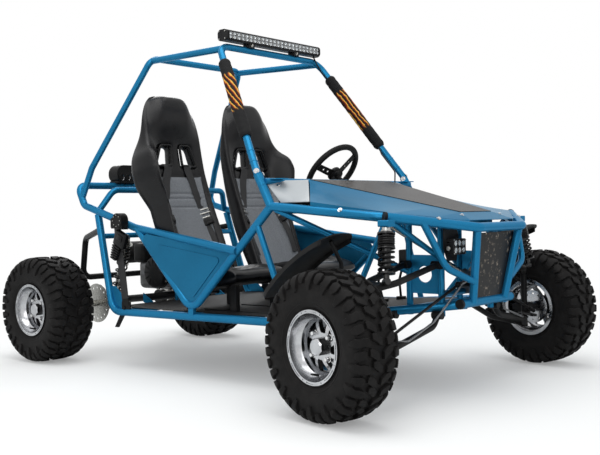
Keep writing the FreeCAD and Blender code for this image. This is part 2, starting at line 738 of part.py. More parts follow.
def strut_marks(top, bottom):
    """Stations of a coil-over: upper seat, ring between the two springs, lower seat."""
    length = (V(*bottom) - V(*top)).Length
    upper, lower = 34.0, length - 34.0
    return length, upper, upper + (lower - upper) * 0.36, lower


def damper(top, bottom, spring_radius):
    """Damper tube and rod with eyes, the adjusting collar, both spring seats and the divider ring."""
    length, upper, divider, lower = strut_marks(top, bottom)
    down = V(0, 0, 1)
    seat_radius = spring_radius + spring_wire + 1
    pieces = [
        Part.makeCylinder(damper_radius, lower - 26, V(0, 0, 10), down),
        Part.makeCylinder(7, length, V(0, 0, 0), down),
        Part.makeCylinder(seat_radius, 6, V(0, 0, upper - 6), down),
        Part.makeCylinder(damper_radius + 5, 8, V(0, 0, upper - 14), down),
        Part.makeCylinder(seat_radius, 5, V(0, 0, lower), down),
        Part.makeCylinder(12, 24, V(0, 0, lower + 5), down),
        Part.makeCylinder(13, 26, V(0, -13, 0), V(0, 1, 0)),
        Part.makeCylinder(13, 26, V(0, -13, length), V(0, 1, 0)),
    ]
    ring = Part.makeCylinder(seat_radius, 4, V(0, 0, divider - 2), down)
    ring = ring.cut(Part.makeCylinder(damper_radius + seat_clearance, 10, V(0, 0, divider - 5), down))
    body = joined(pieces)
    return [along_strut(body, top, bottom), along_strut(ring, top, bottom)]


def coil(start, end, turns, radius):
    """One spring of round wire, wound in tilted half turns that run smoothly into each other."""
    low, high = start + spring_wire, end - spring_wire
    rise = (high - low) / (2 * turns)
    halves = []
    side = 1
    for i in range(2 * turns):
        z = low + rise * i
        halves.append(Part.Arc(V(side * radius, 0, z), V(0, side * radius, z + rise / 2),
                               V(-side * radius, 0, z + rise)).toShape())
        side = -side
    ring = Part.Wire(Part.makeCircle(spring_wire, V(radius, 0, low), V(0, 1, 0)))
    return Part.Wire(halves).makePipeShell([ring], True, True)


def coil_pair(top, bottom, radius):
    """A close-wound spring above the divider ring and an open one below it."""
    upper, divider, lower = strut_marks(top, bottom)[1:]
    close = coil(upper, divider - 2, 4, radius)
    open_wound = coil(divider + 2, lower, 4, radius)
    return [along_strut(close, top, bottom), along_strut(open_wound, top, bottom)]


front_strut = ((shock_top_x, shock_top_half, shock_top_z - 14), (1160.0, 578.0, 498.0))
rear_strut = ((shock_bar_x - 12, rear_shock_top_half, shock_bar_z - 22), (shock_pin_x, shock_pin_half, shock_pin_z))


def swing_arm():
    """Trailing fork that carries the live axle in two bearing housings."""
    pieces = [
        rod((swing_pivot_x, -swing_pivot_half, swing_pivot_z), (swing_pivot_x, swing_pivot_half, swing_pivot_z),
            swing_arm_tube),
        rod((shock_pin_x, -swing_arm_half, 300), (shock_pin_x, swing_arm_half, 300), 16),
    ]
    for side in (-1, 1):
        y = side * swing_arm_half
        pieces.append(rod((swing_pivot_x, y, swing_pivot_z), (rear_axle_x + 20, y, axle_z + 10), swing_arm_tube))
        pieces.append(rod((rear_axle_x, y - 20, axle_z), (rear_axle_x, y + 20, axle_z), 42))
        pieces.append(rod((shock_pin_x, y, shock_pin_z), (shock_pin_x, side * (shock_pin_half + 14), shock_pin_z), 7))
        pieces.append(plate([
            (swing_pivot_x - 10, y, swing_pivot_z), (swing_pivot_x - 90, y, swing_pivot_z - 6),
            (swing_pivot_x - 10, side * (swing_arm_half - 60), swing_pivot_z),
        ], (0, 0, plate_gauge)))
    bore = rod((rear_axle_x, -300, axle_z), (rear_axle_x, 300, axle_z), rear_axle_radius + running_clearance)
    return joined(pieces).cut(bore)


# Body panels


def hood_loft(inset):
    """Faceted nose cover by cross-sections, inset for its inner face."""
    wires = []
    for x, top_half, top_z, low_half, low_z in hood_stations:
        half_top, half_low = top_half - inset * 0.7, low_half - inset * 1.5
        corners = [
            V(x, -half_low, low_z - hood_flange), V(x, -half_low, low_z - inset * 0.2),
            V(x, -half_top, top_z - inset), V(x, half_top, top_z - inset),
            V(x, half_low, low_z - inset * 0.2), V(x, half_low, low_z - hood_flange),
        ]
        wires.append(Part.makePolygon(corners + corners[:1]))
    return Part.makeLoft(wires, True, True)


def hood():
    """Sheet nose cover, cut away at its rear corners where the cowl plates close it."""
    shell = hood_loft(0).cut(hood_loft(sheet_gauge))
    rear_x, rear_half = hood_stations[0][:2]
    second_x, second_half = hood_stations[1][0], hood_stations[1][3]
    corner = plate([(rear_x - 60, rear_half, 940), (rear_x, rear_half, 940), (second_x, second_half, 940),
                    (second_x, 700, 940), (rear_x - 60, 700, 940)], (0, 0, -300))
    return shell.cut(corner).cut(mirrored(corner))


def hood_top():
    """Flat black cover on the top facet of the hood."""
    rear_x, rear_half, rear_z = hood_stations[0][:3]
    front_x, front_half, front_z = hood_stations[3][:3]
    corners = [(rear_x, -rear_half + 2, rear_z), (front_x - 2, -front_half + 1, front_z + 0.5),
               (front_x - 2, front_half - 1, front_z + 0.5), (rear_x, rear_half - 2, rear_z)]
    return plate(corners, (0.5, 0, 2.1))


def cowl_plate():
    """Twisted sheet between the hood's rear edge and the pillar, with its seam flange."""
    corners = [(558, 312, 911), (747, 530, 812), (592, 534, 812), (497, 528, 905)]
    lower = Part.makeRuledSurface(
        Part.LineSegment(V(*corners[0]), V(*corners[1])).toShape(),
        Part.LineSegment(V(*corners[3]), V(*corners[2])).toShape())
    return lower.extrude(V(0, 0, -sheet_gauge))


def dash_panel():
    """Dash face with a rounded lower edge and a round instrument recess ahead of the driver."""
    x, half = dash_panel_x, dash_panel_half
    sheet = softened(block((x, -half, 762), (x + sheet_gauge, half, 890)), 24, (1, 0, 0))
    bezel = rod((x - 12, wheel_centre.y, 830), (x, wheel_centre.y, 830), 42)
    recess = rod((x - 13, wheel_centre.y, 830), (x - 6, wheel_centre.y, 830), 36)
    return sheet.fuse(bezel.cut(recess))


def door_panel():
    """Stamped triangular skin inside the V, with a raised field and a rounded foot."""
    outer = [(-385, 521, 688), (322, 521, 592), (36, 521, 326), (-26, 521, 326)]
    field = [(-255, 523, 632), (215, 523, 568), (24, 523, 384), (-12, 523, 384)]
    skin = softened(plate(outer, (0, 2.5, 0)), 28, (0, 1, 0))
    raised = softened(plate(field, (0, 4.0, 0)), 16, (0, 1, 0))
    return skin.fuse(raised).removeSplitter()


def floor_pan():
    """Floor with its toe board that follows the tapering rails, ribbed for stiffness."""
    cabin = plate([(-600, -495, floor_z), (rocker_front_x, -495, floor_z + 10),
                   (rocker_front_x, 495, floor_z + 10), (-600, 495, floor_z)], (0, 0, sheet_gauge))
    toe = plate([(rocker_front_x, -495, floor_z + 10), (1000, -250, 362),
                 (1000, 250, 362), (rocker_front_x, 495, floor_z + 10)], (0, 0, sheet_gauge))
    ribs = [block((-30, y - 8, floor_z + 5), (480, y + 8, floor_z + 13)) for y in (-400, -150, 150, 400)]
    return joined([cabin, toe] + ribs)


def grille_panel():
    """Flat sheet between the uprights with folded top edge."""
    sheet = plate([(1305, -grille_top_half, 668), (1305, grille_top_half, 668),
                   (1266, grille_low_half, 398), (1266, -grille_low_half, 398)], (-sheet_gauge, 0, 0))
    fold = block((1290, -grille_top_half + 4, 665), (1305, grille_top_half - 4, 668))
    return sheet.fuse(fold)


# Seats and harness


def seat_height():
    return math.hypot(seat_top_x - seat_hip_x, seat_top_z - seat_hip_z)


def reclined(shape, y):
    """Moves a shape modelled on an upright seat back to its lean and place."""
    lean = math.degrees(math.atan2(seat_hip_x - seat_top_x, seat_top_z - seat_hip_z))
    shape.rotate(V(0, 0, 0), V(0, 1, 0), -lean)
    shape.translate(V(seat_hip_x - 20, y, seat_hip_z))
    return shape


def back_outline(depth_low, depth_high, shares):
    """Front view of the seat back, as (share of half width, share of height), extruded in depth."""
    half, height = seat_width / 2, seat_height()
    right = [V(depth_low, -half * w, height * h) for w, h in shares]
    left = [V(p.x, -p.y, p.z) for p in right[::-1]]
    outline = right + left
    return Part.Face(Part.makePolygon(outline + outline[:1])).extrude(V(depth_high - depth_low, 0, 0))


def seat(side):
    """High-backed bucket seat: pad, wings and head, with two harness slots."""
    half, height = seat_width / 2, seat_height()
    shares = [(0.82, 0.0), (0.84, 0.32), (0.99, 0.56), (1.0, 0.66), (0.72, 0.80), (0.5, 0.97), (0.3, 1.0)]
    slab = softened(back_outline(0, seat_pad, shares), 18, (1, 0, 0))
    wings = softened(back_outline(seat_pad, seat_pad + bolster_rise, shares[:4] + [(0.86, 0.73)]), 16, (1, 0, 0))
    hollow = block((seat_pad, -half + bolster_width, -40), (300, half - bolster_width, height))
    head = softened(back_outline(seat_pad, seat_pad + 34, [(0.66, 0.82), (0.5, 0.965), (0.3, 0.99)]), 14, (1, 0, 0))
    shell = slab.fuse([wings.cut(hollow), head])
    for slot_side in (-1, 1):
        slot = plate([(-20, slot_side * 20, height * slot_low), (-20, slot_side * 72, height * slot_low),
                      (-20, slot_side * 52, height * slot_high), (-20, slot_side * 24, height * slot_high)], (400, 0, 0))
        shell = shell.cut(softened(slot, 7, (1, 0, 0)))
    shell = reclined(shell, 0)
    run = V(seat_front_x - seat_hip_x, 0, seat_front_z - seat_hip_z)
    rise = math.degrees(math.atan2(run.z, run.x))
    base_half = half * 0.82
    cushion = block((-60, -base_half, -10), (run.Length, base_half, seat_pad + bolster_rise - 4))
    cushion = softened(cushion, 30, (0, 1, 0))
    dish = block((-80, -base_half + bolster_width, seat_pad + 6), (run.Length - 70, base_half - bolster_width, 300))
    cushion = cushion.cut(dish)
    cushion.rotate(V(0, 0, 0), V(0, 1, 0), -rise)
    cushion.translate(V(seat_hip_x, 0, seat_hip_z))
    solid = joined([shell, cushion])
    solid.translate(V(0, side * seat_half, 0))
    return solid


def harness(side):
    """Shoulder straps from the harness bar through the slots and down the back pad."""
    height = seat_height()
    half = strap_width / 2
    straps = []
    front = seat_pad + seat_clearance
    for strap_side in (-1, 1):
        high_y, low_y = strap_side * 46, strap_side * 78
        straps.append(reclined(plate([
            (front, high_y - half, height * slot_low), (front, high_y + half, height * slot_low),
            (front, low_y + half, height * 0.2), (front, low_y - half, height * 0.2),
        ], (strap_gauge, 0, 0)), side * seat_half))
    return straps


def seat_posts():
    """Stub posts and a rail pair under each seat, down to the floor."""
    posts = []
    for x in (-120, 180):
        for offset in (-135, 135):
            posts.append(block((x - 20, offset - 12, floor_z + 3.5), (x + 20, offset + 12, 470)))
    rails = []
    for side in (-1, 1):
        for post in posts:
            placed = post.copy()
            placed.translate(V(0, side * seat_half, 0))
            rails.append(placed)
    return Part.makeCompound(rails)


def under_seat(shape, others):
    """The lower part of each post, below the seat that it carries."""
    cut = coped(shape, others)
    return Part.makeCompound([solid for solid in cut.Solids if solid.BoundBox.ZMin < floor_z + 30])


def belt_reel():
    """Reel on the side rail with its webbing down to the anchor at the rear bend."""
    reel = rod((-505, 508, 745), (-505, 552, 745), 38)
    box = softened(block((-560, 510, 706), (-470, 548, 760)), 10, (0, 1, 0))
    bracket = block((-540, 484, 700), (-500, 514, 742))
    strap = [(-575, 512, 722), (-575, 515, 722), (-520, 515, 320), (-520, 512, 320)]
    webbing = plate(strap, (48, 0, 0))
    anchor = softened(block((-530, 505, 290), (-464, 513, 338)), 8, (0, 1, 0))
    bolt = rod((-509, 493, 305), (-509, 518, 305), 9)
    return joined([reel, box, bracket, webbing, anchor, bolt])


def pedals():
    """Brake and throttle pedals that stand on the cross tube ahead of the driver."""
    pieces = []
    for y, x_lean in ((225.0, 0.0), (375.0, 20.0)):
        arm = bent_tube([(rocker_front_x + 60, y, floor_z + 18), (rocker_front_x + 30 + x_lean, y, 420),
                         (rocker_front_x + 62 + x_lean, y, 520)], 6, 30)
        pad = softened(block((rocker_front_x + 52 + x_lean, y - 32, 500), (rocker_front_x + 60 + x_lean, y + 32, 572)),
                       8, (1, 0, 0))
        foot = block((rocker_front_x + 44, y - 20, floor_z + 14), (rocker_front_x + 76, y + 20, floor_z + 34))
        pieces.append(joined([arm, pad, foot]))
    return pieces


# Steering


def column_at(distance):
    tilt = math.radians(column_tilt)
    return wheel_centre + V(math.cos(tilt), 0, -math.sin(tilt)) * distance


def steering_wheel():
    """Dished three-spoke wheel on its shaft, with the upper fork of the joint."""
    rim = Part.makeTorus(wheel_rim_radius, wheel_grip_radius)
    hub = Part.makeCone(30, 36, 22, V(0, 0, wheel_dish - 6), V(0, 0, 1))
    shaft = Part.makeCylinder(column_radius, column_length - 40, V(0, 0, wheel_dish), V(0, 0, 1))
    spokes = []
    for angle in (90, 210, 330):
        spoke = plate([(24, -20, wheel_dish), (wheel_rim_radius - 4, -17, 0), (wheel_rim_radius - 4, 17, 0),
                       (24, 20, wheel_dish)], (0, 0, 5))
        for share in (0.35, 0.6):
            reach = 24 + (wheel_rim_radius - 28) * share
            spoke = spoke.cut(Part.makeCylinder(6, 60, V(reach, 0, -20), V(0, 0, 1)))
        spoke.rotate(V(0, 0, 0), V(0, 0, 1), angle)
        spokes.append(spoke)
    cup = Part.makeCylinder(18, 28, V(0, 0, column_length + joint_gap - 9 - seat_clearance - 28), V(0, 0, 1))
    wheel = joined([rim, hub, shaft, cup] + spokes)
    wheel.rotate(V(0, 0, 0), V(0, 0, 1), -steer_at_rest * steering_ratio)
    wheel.rotate(V(0, 0, 0), V(0, 1, 0), 90 + column_tilt)
    wheel.translate(wheel_centre)
    return wheel


def lower_shaft():
    start = column_at(column_length + joint_gap)
    along = (pinion_point - start).normalize()
    length = (pinion_point - start).Length
    shaft = Part.makeCylinder(lower_shaft_radius, length, start, along)
    yoke = Part.makeCylinder(16, 24, start + along * 6, along)
    ball = Part.makeSphere(9, start)
    return joined([shaft, yoke, ball])


def column_bearing():
    """Tube round the steering shaft, hung from the dash bar."""
    along = (column_at(1) - column_at(0)).normalize()
    tube = Part.makeCylinder(22, 60, column_at(250), along)
    hanger = block((500, wheel_centre.y - 10, 770), (524, wheel_centre.y + 10, 892))
    lug = block((440, wheel_centre.y - 8, 770), (524, wheel_centre.y + 8, 800))
    bore = Part.makeCylinder(column_radius + running_clearance, 200, column_at(200), along)
    return joined([tube, hanger, lug]).cut(bore)


def rack_housing():
    along = (pinion_point - column_at(column_length + joint_gap)).normalize()
    body = rod((rack_x, -rack_housing_half, rack_z), (rack_x, rack_housing_half, rack_z), 24)
    collars = [rod((rack_x, y - 5, rack_z), (rack_x, y + 5, rack_z), 28)
               for y in (-rack_housing_half + 5, rack_housing_half - 5)]
    tower = Part.makeCylinder(20, 76, pinion_point - along * 60, along)
    saddle = block((bulkhead_front_x - 10, -30, rack_z - 44), (rack_x, 30, rack_z - 12))
    bore = rod((rack_x, -200, rack_z), (rack_x, 200, rack_z), rack_bar_radius + running_clearance)
    pinion_bore = Part.makeCylinder(lower_shaft_radius + running_clearance, 200.3, pinion_point - along * 200, along)
    return joined([body, saddle, tower] + collars).cut(bore).cut(pinion_bore)


def rack_bar():
    """Rack with both tie rods. Their outer ends run over the steering arms."""
    shift = rack_at_rest
    half = rack_ball_half_span
    pieces = [rod((rack_x, shift - half, rack_z), (rack_x, shift + half, rack_z), rack_bar_radius)]
    angle = math.radians(steer_at_rest)
    for side in (-1, 1):
        ox, oy = steering_arm_forward, -side * steering_arm_inboard
        end = V(front_axle_x + ox * math.cos(angle) - oy * math.sin(angle),
                side * kingpin_half_track + ox * math.sin(angle) + oy * math.cos(angle),
                steering_arm_z + 4 + moving_clearance + tie_rod_ball_radius)
        start = V(rack_x, shift + side * half, rack_z)
        along = (end - start).normalize()
        pieces.append(rod(start, end, tie_rod_radius))
        pieces.append(Part.makeCylinder(tie_rod_radius + 3, 46, end - along * 60, along))
        pieces.append(Part.makeSphere(tie_rod_ball_radius + 3, start))
        pieces.append(Part.makeSphere(tie_rod_ball_radius, end))
    return joined(pieces)


# Equipment


def light_bar():
    """Finned aluminium housing with end caps, a lens recess and two feet."""
    x, half, depth = light_bar_x, light_bar_half, light_bar_depth
    low, high = light_bar_low_z, light_bar_high_z
    body = softened(block((x - depth / 2, 6 - half, low), (x + depth / 2, half - 6, high)), 10, (0, 1, 0))
    lens = block((x + depth / 2 - 4, 14 - half, low + 7), (x + depth / 2 + 1, half - 14, high - 7))
    fins = [block((x - depth / 2 - 1, 12 - half, z), (x - depth / 2 + 14, half - 12, z + 4))
            for z in (low + 12, low + 21, low + 30, low + 39)]
    body = body.cut([lens] + fins)
    pieces = [body]
    for side in (-1, 1):
        cap_low, cap_high = sorted((side * (half - 6), side * half))
        pieces.append(softened(block((x - depth / 2 - 2, cap_low, low - 2), (x + depth / 2 + 2, cap_high, high + 2)),
                               20, (0, 1, 0)))
        y = side * light_bar_foot_half
        pieces.append(block((x - 20, y - 20, roof_front_z + 10), (x + 20, y + 20, low + 1)))
    return joined(pieces)


def pillar_offset(distance, clear):
    """A point beside the left pillar, on its inner side."""
    inner = (V(0, -1, 0) - pillar_along * V(0, -1, 0).dot(pillar_along)).normalize()
    return pillar_low + pillar_along * distance + inner * clear


def light_bar_cable():
    """Lead from the lamp down to the left pillar, and on from its sleeve to the cowl."""
    beside = roof_tube + cable_radius + seat_clearance
    pad_end = pad_start + pad_length
    top = pillar_offset(pad_end + 1, beside)
    above = pillar_offset(pad_end + 40, beside + 6)
    upper = bent_tube([
        (light_bar_x, light_bar_half - 20, light_bar_low_z - seat_clearance),
        (light_bar_x + 34, light_bar_half - 32, light_bar_low_z - 46),
        tuple(above),
        tuple(top),
    ], cable_radius, 16)
    below = pillar_offset(pad_start - 3, beside)
    lower = bent_tube([
        tuple(below),
        tuple(pillar_offset(pad_start - 40, beside + 20)),
        (dash_bar_x + 24, 388, dash_bar_z + 60),
        (dash_bar_x + 30, 376, dash_bar_z + 4),
    ], cable_radius, 30)
    return [upper, lower]


def pillar_pad():
    """Foam sleeve round the pillar."""
    start = pillar_low + pillar_along * pad_start
    sleeve = Part.makeCylinder(pad_radius, pad_length, start, pillar_along)
    ends = [edge for edge in sleeve.Edges if isinstance(edge.Curve, Part.Circle)]
    return sleeve.makeFillet(6, ends).cut(Part.makeCylinder(roof_tube, pad_length, start, pillar_along))


def led_pod():
    """Six-lens lamp with a finned back and a U bracket, on a hexagonal backing plate."""
    y, z = pod_half, pod_z
    backing = softened(plate([
        (pod_x, y - 52, z + 43), (pod_x, y - 32, z + 83), (pod_x, y + 62, z + 83),
        (pod_x, y + 62, z - 7), (pod_x, y + 34, z - 57), (pod_x, y - 32, z - 57),
    ], (plate_gauge, 0, 0)), 8, (1, 0, 0))
    front = pod_x + plate_gauge + 34
    lamp = softened(block((pod_x + plate_gauge, y - 48, z - 32), (front, y + 48, z + 32)), 8, (1, 0, 0))
    cups = [rod((front - 8, y + across, z + up), (front + 1, y + across, z + up), 12)
            for across in (-29, 0, 29) for up in (-14, 14)]
    fins = [block((pod_x + plate_gauge + 6, y - 50, z + up), (pod_x + plate_gauge + 18, y + 50, z + up + 5))
            for up in (-20, -8, 4, 16)]
    bracket = bent_tube([(pod_x + 20, y - 53, z - 6), (pod_x + 20, y - 53, z - 58), (pod_x + 20, y + 53, z - 58),
                         (pod_x + 20, y + 53, z - 6)], 5, 20)
    return joined([backing, lamp.cut(cups + fins), bracket])


def engine():
    return softened(block((engine_rear_x, engine_right_y, engine_low_z), (engine_front_x, engine_left_y, engine_high_z)),
                    24, (0, 1, 0))


def rear_guard():
    return hoop([(-742, 474, 700), (-1047, 352, 650), (-1085, 350, 430)], roof_tube, tight_bend)


def muffler():
    """Silencer can across the tail with its inlet and tail pipes."""
    can = rod((muffler_x, -130, muffler_z), (muffler_x, 200, muffler_z), muffler_radius)
    ends = [edge for edge in can.Edges if isinstance(edge.Curve, Part.Circle)]
    inlet = rod((engine_rear_x, -60, muffler_z - 40), (muffler_x + 10, -60, muffler_z - 10), 16)
    collar_x = muffler_x - muffler_radius - 8
    collar = rod((muffler_x, tail_pipe_y, muffler_z), (collar_x, tail_pipe_y, muffler_z), tail_pipe_radius + 6)
    tail = rod((muffler_x, tail_pipe_y, muffler_z), (collar_x - tail_pipe_length, tail_pipe_y, muffler_z),
               tail_pipe_radius)
    return joined([can.makeFillet(18, ends), inlet, collar, tail])


def rear_lamp():
    """Domed lamp housing that stands on the tail tube."""
    y_low, y_high = -238, -96
    base, top = tail_z + main_tube - 4, tail_z + 116
    dome = block((tail_x - 42, y_low, base), (tail_x + 36, y_high, top))
    dome = softened(dome, 48, (1, 0, 0))
    foot = block((tail_x - 40, y_low + 6, base), (tail_x + 34, y_high - 6, base + 12))
    return dome.fuse(foot)


# Brake hoses and jacking tabs


def brake_hose():
    """Braided hose from the nose upright to the lower arm, clipped along its front side."""
    hose_radius = 4.5
    beside = bulkhead_front_x + arm_tube + hose_radius + seat_clearance
    return bent_tube([
        (1258, 140, 478), (1236, 150, 462), (beside, 292, 316), (beside, 470, 262), (1130, 560, 262),
    ], hose_radius, 22)


def jack_tab():
    """Flat bar below the rear bend where a jack is set."""
    return plate([(-607, 500, 200), (-580, 500, 200), (-524, 500, 272), (-558, 500, 272)], (0, -8, 0))


# The whole buggy


def assembly():
    nodes = {}
    frame = []

    def weld(name, shape):
        nodes[name] = coped(shape, frame)
        frame.append(nodes[name])

    def fit(name, shape, extra=()):
        nodes[name] = coped(shape, frame + [nodes[key] for key in extra])

    weld("lower_frame", lower_frame())
    weld("rear_loop", rear_loop())
    weld("pillar_hoop", pillar_hoop())
    weld("door_frame_right", mirrored(door_frame()))
    weld("door_frame_left", door_frame())
    weld("rear_hoop", rear_hoop())
    weld("roof_rails", both_sides(roof_rail()))
    weld("dash_bar", dash_bar())
    weld("bulkhead", bulkhead())
    weld("front_frame_right", mirrored(front_frame()))
    weld("front_frame_left", front_frame())
    weld("front_bumper", front_bumper())
    weld("lower_arms", both_sides(lower_arm()))
    weld("upper_arms", both_sides(upper_arm()))
    weld("swing_arm", swing_arm())
    fit("tube_plugs", Part.makeCompound(tube_plugs()))
    for name, strut, radius in (("front", front_strut, front_spring_radius), ("rear", rear_strut, rear_spring_radius)):
        fit(name + "_shocks", both_sides(Part.makeCompound(damper(*strut, radius))))
    nodes["coil_springs"] = Part.makeCompound([
        both_sides(Part.makeCompound(coil_pair(*front_strut, front_spring_radius))),
        both_sides(Part.makeCompound(coil_pair(*rear_strut, rear_spring_radius)))])
    nodes["engine"] = engine()
    fit("rear_guard", rear_guard())
    fit("muffler", muffler(), ["engine", "rear_guard"])
    fit("rear_lamp", rear_lamp())
    fit("floor_pan", floor_pan())
    fit("pedals", Part.makeCompound(pedals()), ["floor_pan"])
    fit("hood", hood())
    nodes["hood_top"] = hood_top()
    fit("cowl_plates", both_sides(cowl_plate()), ["hood"])
    fit("dash_panel", dash_panel())
    fit("door_panels", both_sides(door_panel()))
    fit("grille_panel", grille_panel())
    for side, name in ((-1, "right"), (1, "left")):
        nodes["seat_" + name] = seat(side)
    nodes["harness_straps"] = Part.makeCompound(harness(-1) + harness(1))
    nodes["seat_mounts"] = under_seat(
        seat_posts(), [nodes["seat_right"], nodes["seat_left"], nodes["floor_pan"]])
    fit("belt_reels", both_sides(belt_reel()))
    fit("light_bar", light_bar())
    nodes["pillar_pads"] = both_sides(pillar_pad())
    fit("light_bar_cable", Part.makeCompound(light_bar_cable()), ["light_bar", "cowl_plates"])
    fit("led_pods", both_sides(led_pod()))
    fit("column_bearing", column_bearing(), ["dash_panel"])
    nodes["steering_wheel"] = steering_wheel()
    nodes["lower_shaft"] = lower_shaft()
    fit("rack_housing", rack_housing())
    nodes["rack_bar"] = rack_bar()
    fit("brake_hoses", both_sides(brake_hose()))
    fit("jack_tabs", both_sides(jack_tab()))
    for side, name in ((-1, "right"), (1, "left")):
        nodes["knuckle_" + name] = knuckle(side)
        nodes["fender_" + name] = coped(fender(side), [nodes["knuckle_" + name]])
        nodes["front_rim_" + name] = front_rim(side)
        nodes["front_tyre_" + name] = front_tyre(side)
    nodes["rear_axle"] = rear_axle()
    nodes["rear_rims"] = rear_rims()
    nodes["rear_tyres"] = rear_tyres()
    return nodes


def main():
    os.makedirs("parts", exist_ok=True)
    for name, shape in assembly().items():
        shape.exportStep("parts/" + name + ".step")


main()
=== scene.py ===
import math

import bmesh
import bpy
from mathutils import Matrix, Vector


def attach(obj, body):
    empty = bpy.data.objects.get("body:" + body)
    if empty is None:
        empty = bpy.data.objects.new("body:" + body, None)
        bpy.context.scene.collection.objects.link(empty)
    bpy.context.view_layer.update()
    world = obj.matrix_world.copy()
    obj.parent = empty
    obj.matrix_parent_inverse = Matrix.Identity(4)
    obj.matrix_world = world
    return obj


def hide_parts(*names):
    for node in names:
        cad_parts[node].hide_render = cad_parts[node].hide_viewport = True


bl_info = {
    "name": "Dune Buggy Dressing",
    "version": (1, 0, 0),
    "blender": (4, 5, 0),
    "location": "3D View > Sidebar > Buggy",
    "description": "Gives the packed buggy its finishes and the pieces that mesh code makes best",
    "category": "Object",
}

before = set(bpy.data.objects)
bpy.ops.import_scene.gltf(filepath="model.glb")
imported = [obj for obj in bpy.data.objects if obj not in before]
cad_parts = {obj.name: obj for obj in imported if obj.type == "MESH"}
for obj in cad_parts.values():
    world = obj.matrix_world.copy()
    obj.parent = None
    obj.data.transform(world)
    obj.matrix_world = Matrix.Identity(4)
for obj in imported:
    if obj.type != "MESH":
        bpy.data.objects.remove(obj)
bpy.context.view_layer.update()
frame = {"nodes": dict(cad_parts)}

# Places that the model gives, in metres
AXLE_HEIGHT = 0.279
FRONT_AXLE_X = 1.08
REAR_AXLE_X = -1.08
KINGPIN_HALF = 0.685
FRONT_WHEEL_HALF = 0.807
REAR_WHEEL_HALF = 0.587
STEER_AT_REST = math.radians(-8.6)
SEAT_HALF = 0.275
SEAT_HIP = Vector((-0.150, 0.0, 0.400))
SEAT_TOP = Vector((-0.462, 0.0, 1.372))
SEAT_FRONT = Vector((0.235, 0.0, 0.455))
PILLAR_LOW = Vector((0.471, 0.551, 0.945))
PILLAR_HIGH = Vector((0.062, 0.361, 1.566))
POD_FACE = Vector((1.2698, 0.228, 0.617))
REAR_LENS = Vector((-0.9768, -0.167, 0.996))
PILLAR_TUBE = 0.0165
SLEEVE_BORE = 0.0168
SEAM_ANGLE = 3.6
FRONT_STRUT = (Vector((1.133, 0.534, 0.708)), Vector((1.160, 0.578, 0.498)))
REAR_STRUT = (Vector((-0.744, 0.300, 0.643)), Vector((-0.940, 0.242, 0.303)))
SHOULDER_RADIUS = 0.254
TYRE_HALF = {"front": 0.098, "rear": 0.118}
# From a tyre's side in to the hub's face: the rim's lip, the depth of the disc, the height of the hub
HUB_INSET = 0.010 + 0.062 - 0.012
NUT_CIRCLE = 0.057
# From this radius out, all of a rim is bare metal. Inside it, faces that don't face along the axis are
# black: partly paint, partly painted shade.
BARE_RADIUS = 0.100
SIDES = ((-1, "right"), (1, "left"))
X_AXIS = Vector((1, 0, 0))
Y_AXIS = Vector((0, 1, 0))
Z_AXIS = Vector((0, 0, 1))


# Colours and material nodes


def linear(code):
    """Linear red, green, blue and alpha of an sRGB colour written as #RRGGBB, or of a grey as a number."""
    if isinstance(code, float):
        return [code, code, code, 1.0]
    channels = [int(code[i:i + 2], 16) / 255 for i in (1, 3, 5)]
    return [c / 12.92 if c <= 0.04045 else ((c + 0.055) / 1.055) ** 2.4 for c in channels] + [1.0]


def per_metre(millimetres):
    """Texture scale at which one feature of a pattern is that large."""
    return 1000.0 / millimetres


def add(tree, kind, links=None, stops=(), **settings):
    """Adds a node with its settings, its inputs' values and links, and the stops of its colour ramp.

    A colour is written as #RRGGBB, as linear values, or in a stop as a number for a grey.
    """
    node = tree.nodes.new("ShaderNode" + kind)
    for key, value in settings.items():
        setattr(node, key, value)
    for key, value in (links or {}).items():
        if isinstance(value, bpy.types.Node):
            value = value.outputs[0]
        if isinstance(value, bpy.types.NodeSocket):
            tree.links.new(value, node.inputs[key])
        else:
            node.inputs[key].default_value = linear(value) if isinstance(value, str) else value
    if stops:
        elements = node.color_ramp.elements
        elements[0].position, elements[1].position = stops[0][0], stops[-1][0]
        for place, _ in stops[1:-1]:
            elements.new(place)
        for element, (_, colour) in zip(elements, stops):
            element.color = linear(colour) if isinstance(colour, (float, str)) else colour
    return node


def made_of(name, surface, *values):
    """A material. A function builds its surface from a tree, the place in metres, and colours and values."""
    material = bpy.data.materials.new(name)
    material.use_nodes = True
    tree = material.node_tree
    tree.nodes.clear()
    place = add(tree, "TexCoord").outputs["Object"]
    values = [linear(value) if isinstance(value, str) else value for value in values]
    add(tree, "OutputMaterial", {"Surface": surface(tree, place, *values)})
    return material


def waves_per_metre(millimetres):
    """Wave texture scale at which its bands lie that far apart. At 1 they lie pi / 10 metres apart."""
    return per_metre(millimetres) * math.pi / 10


def stained(tree, source, stops, colour, stain):
    """A colour with a second one over it. The stops say how much of that a noise lets through."""
    share = add(tree, "ValToRGB", {"Fac": source}, stops)
    return add(tree, "Mix", {0: share, 6: colour, 7: stain}, data_type="RGBA").outputs[2]


# Materials


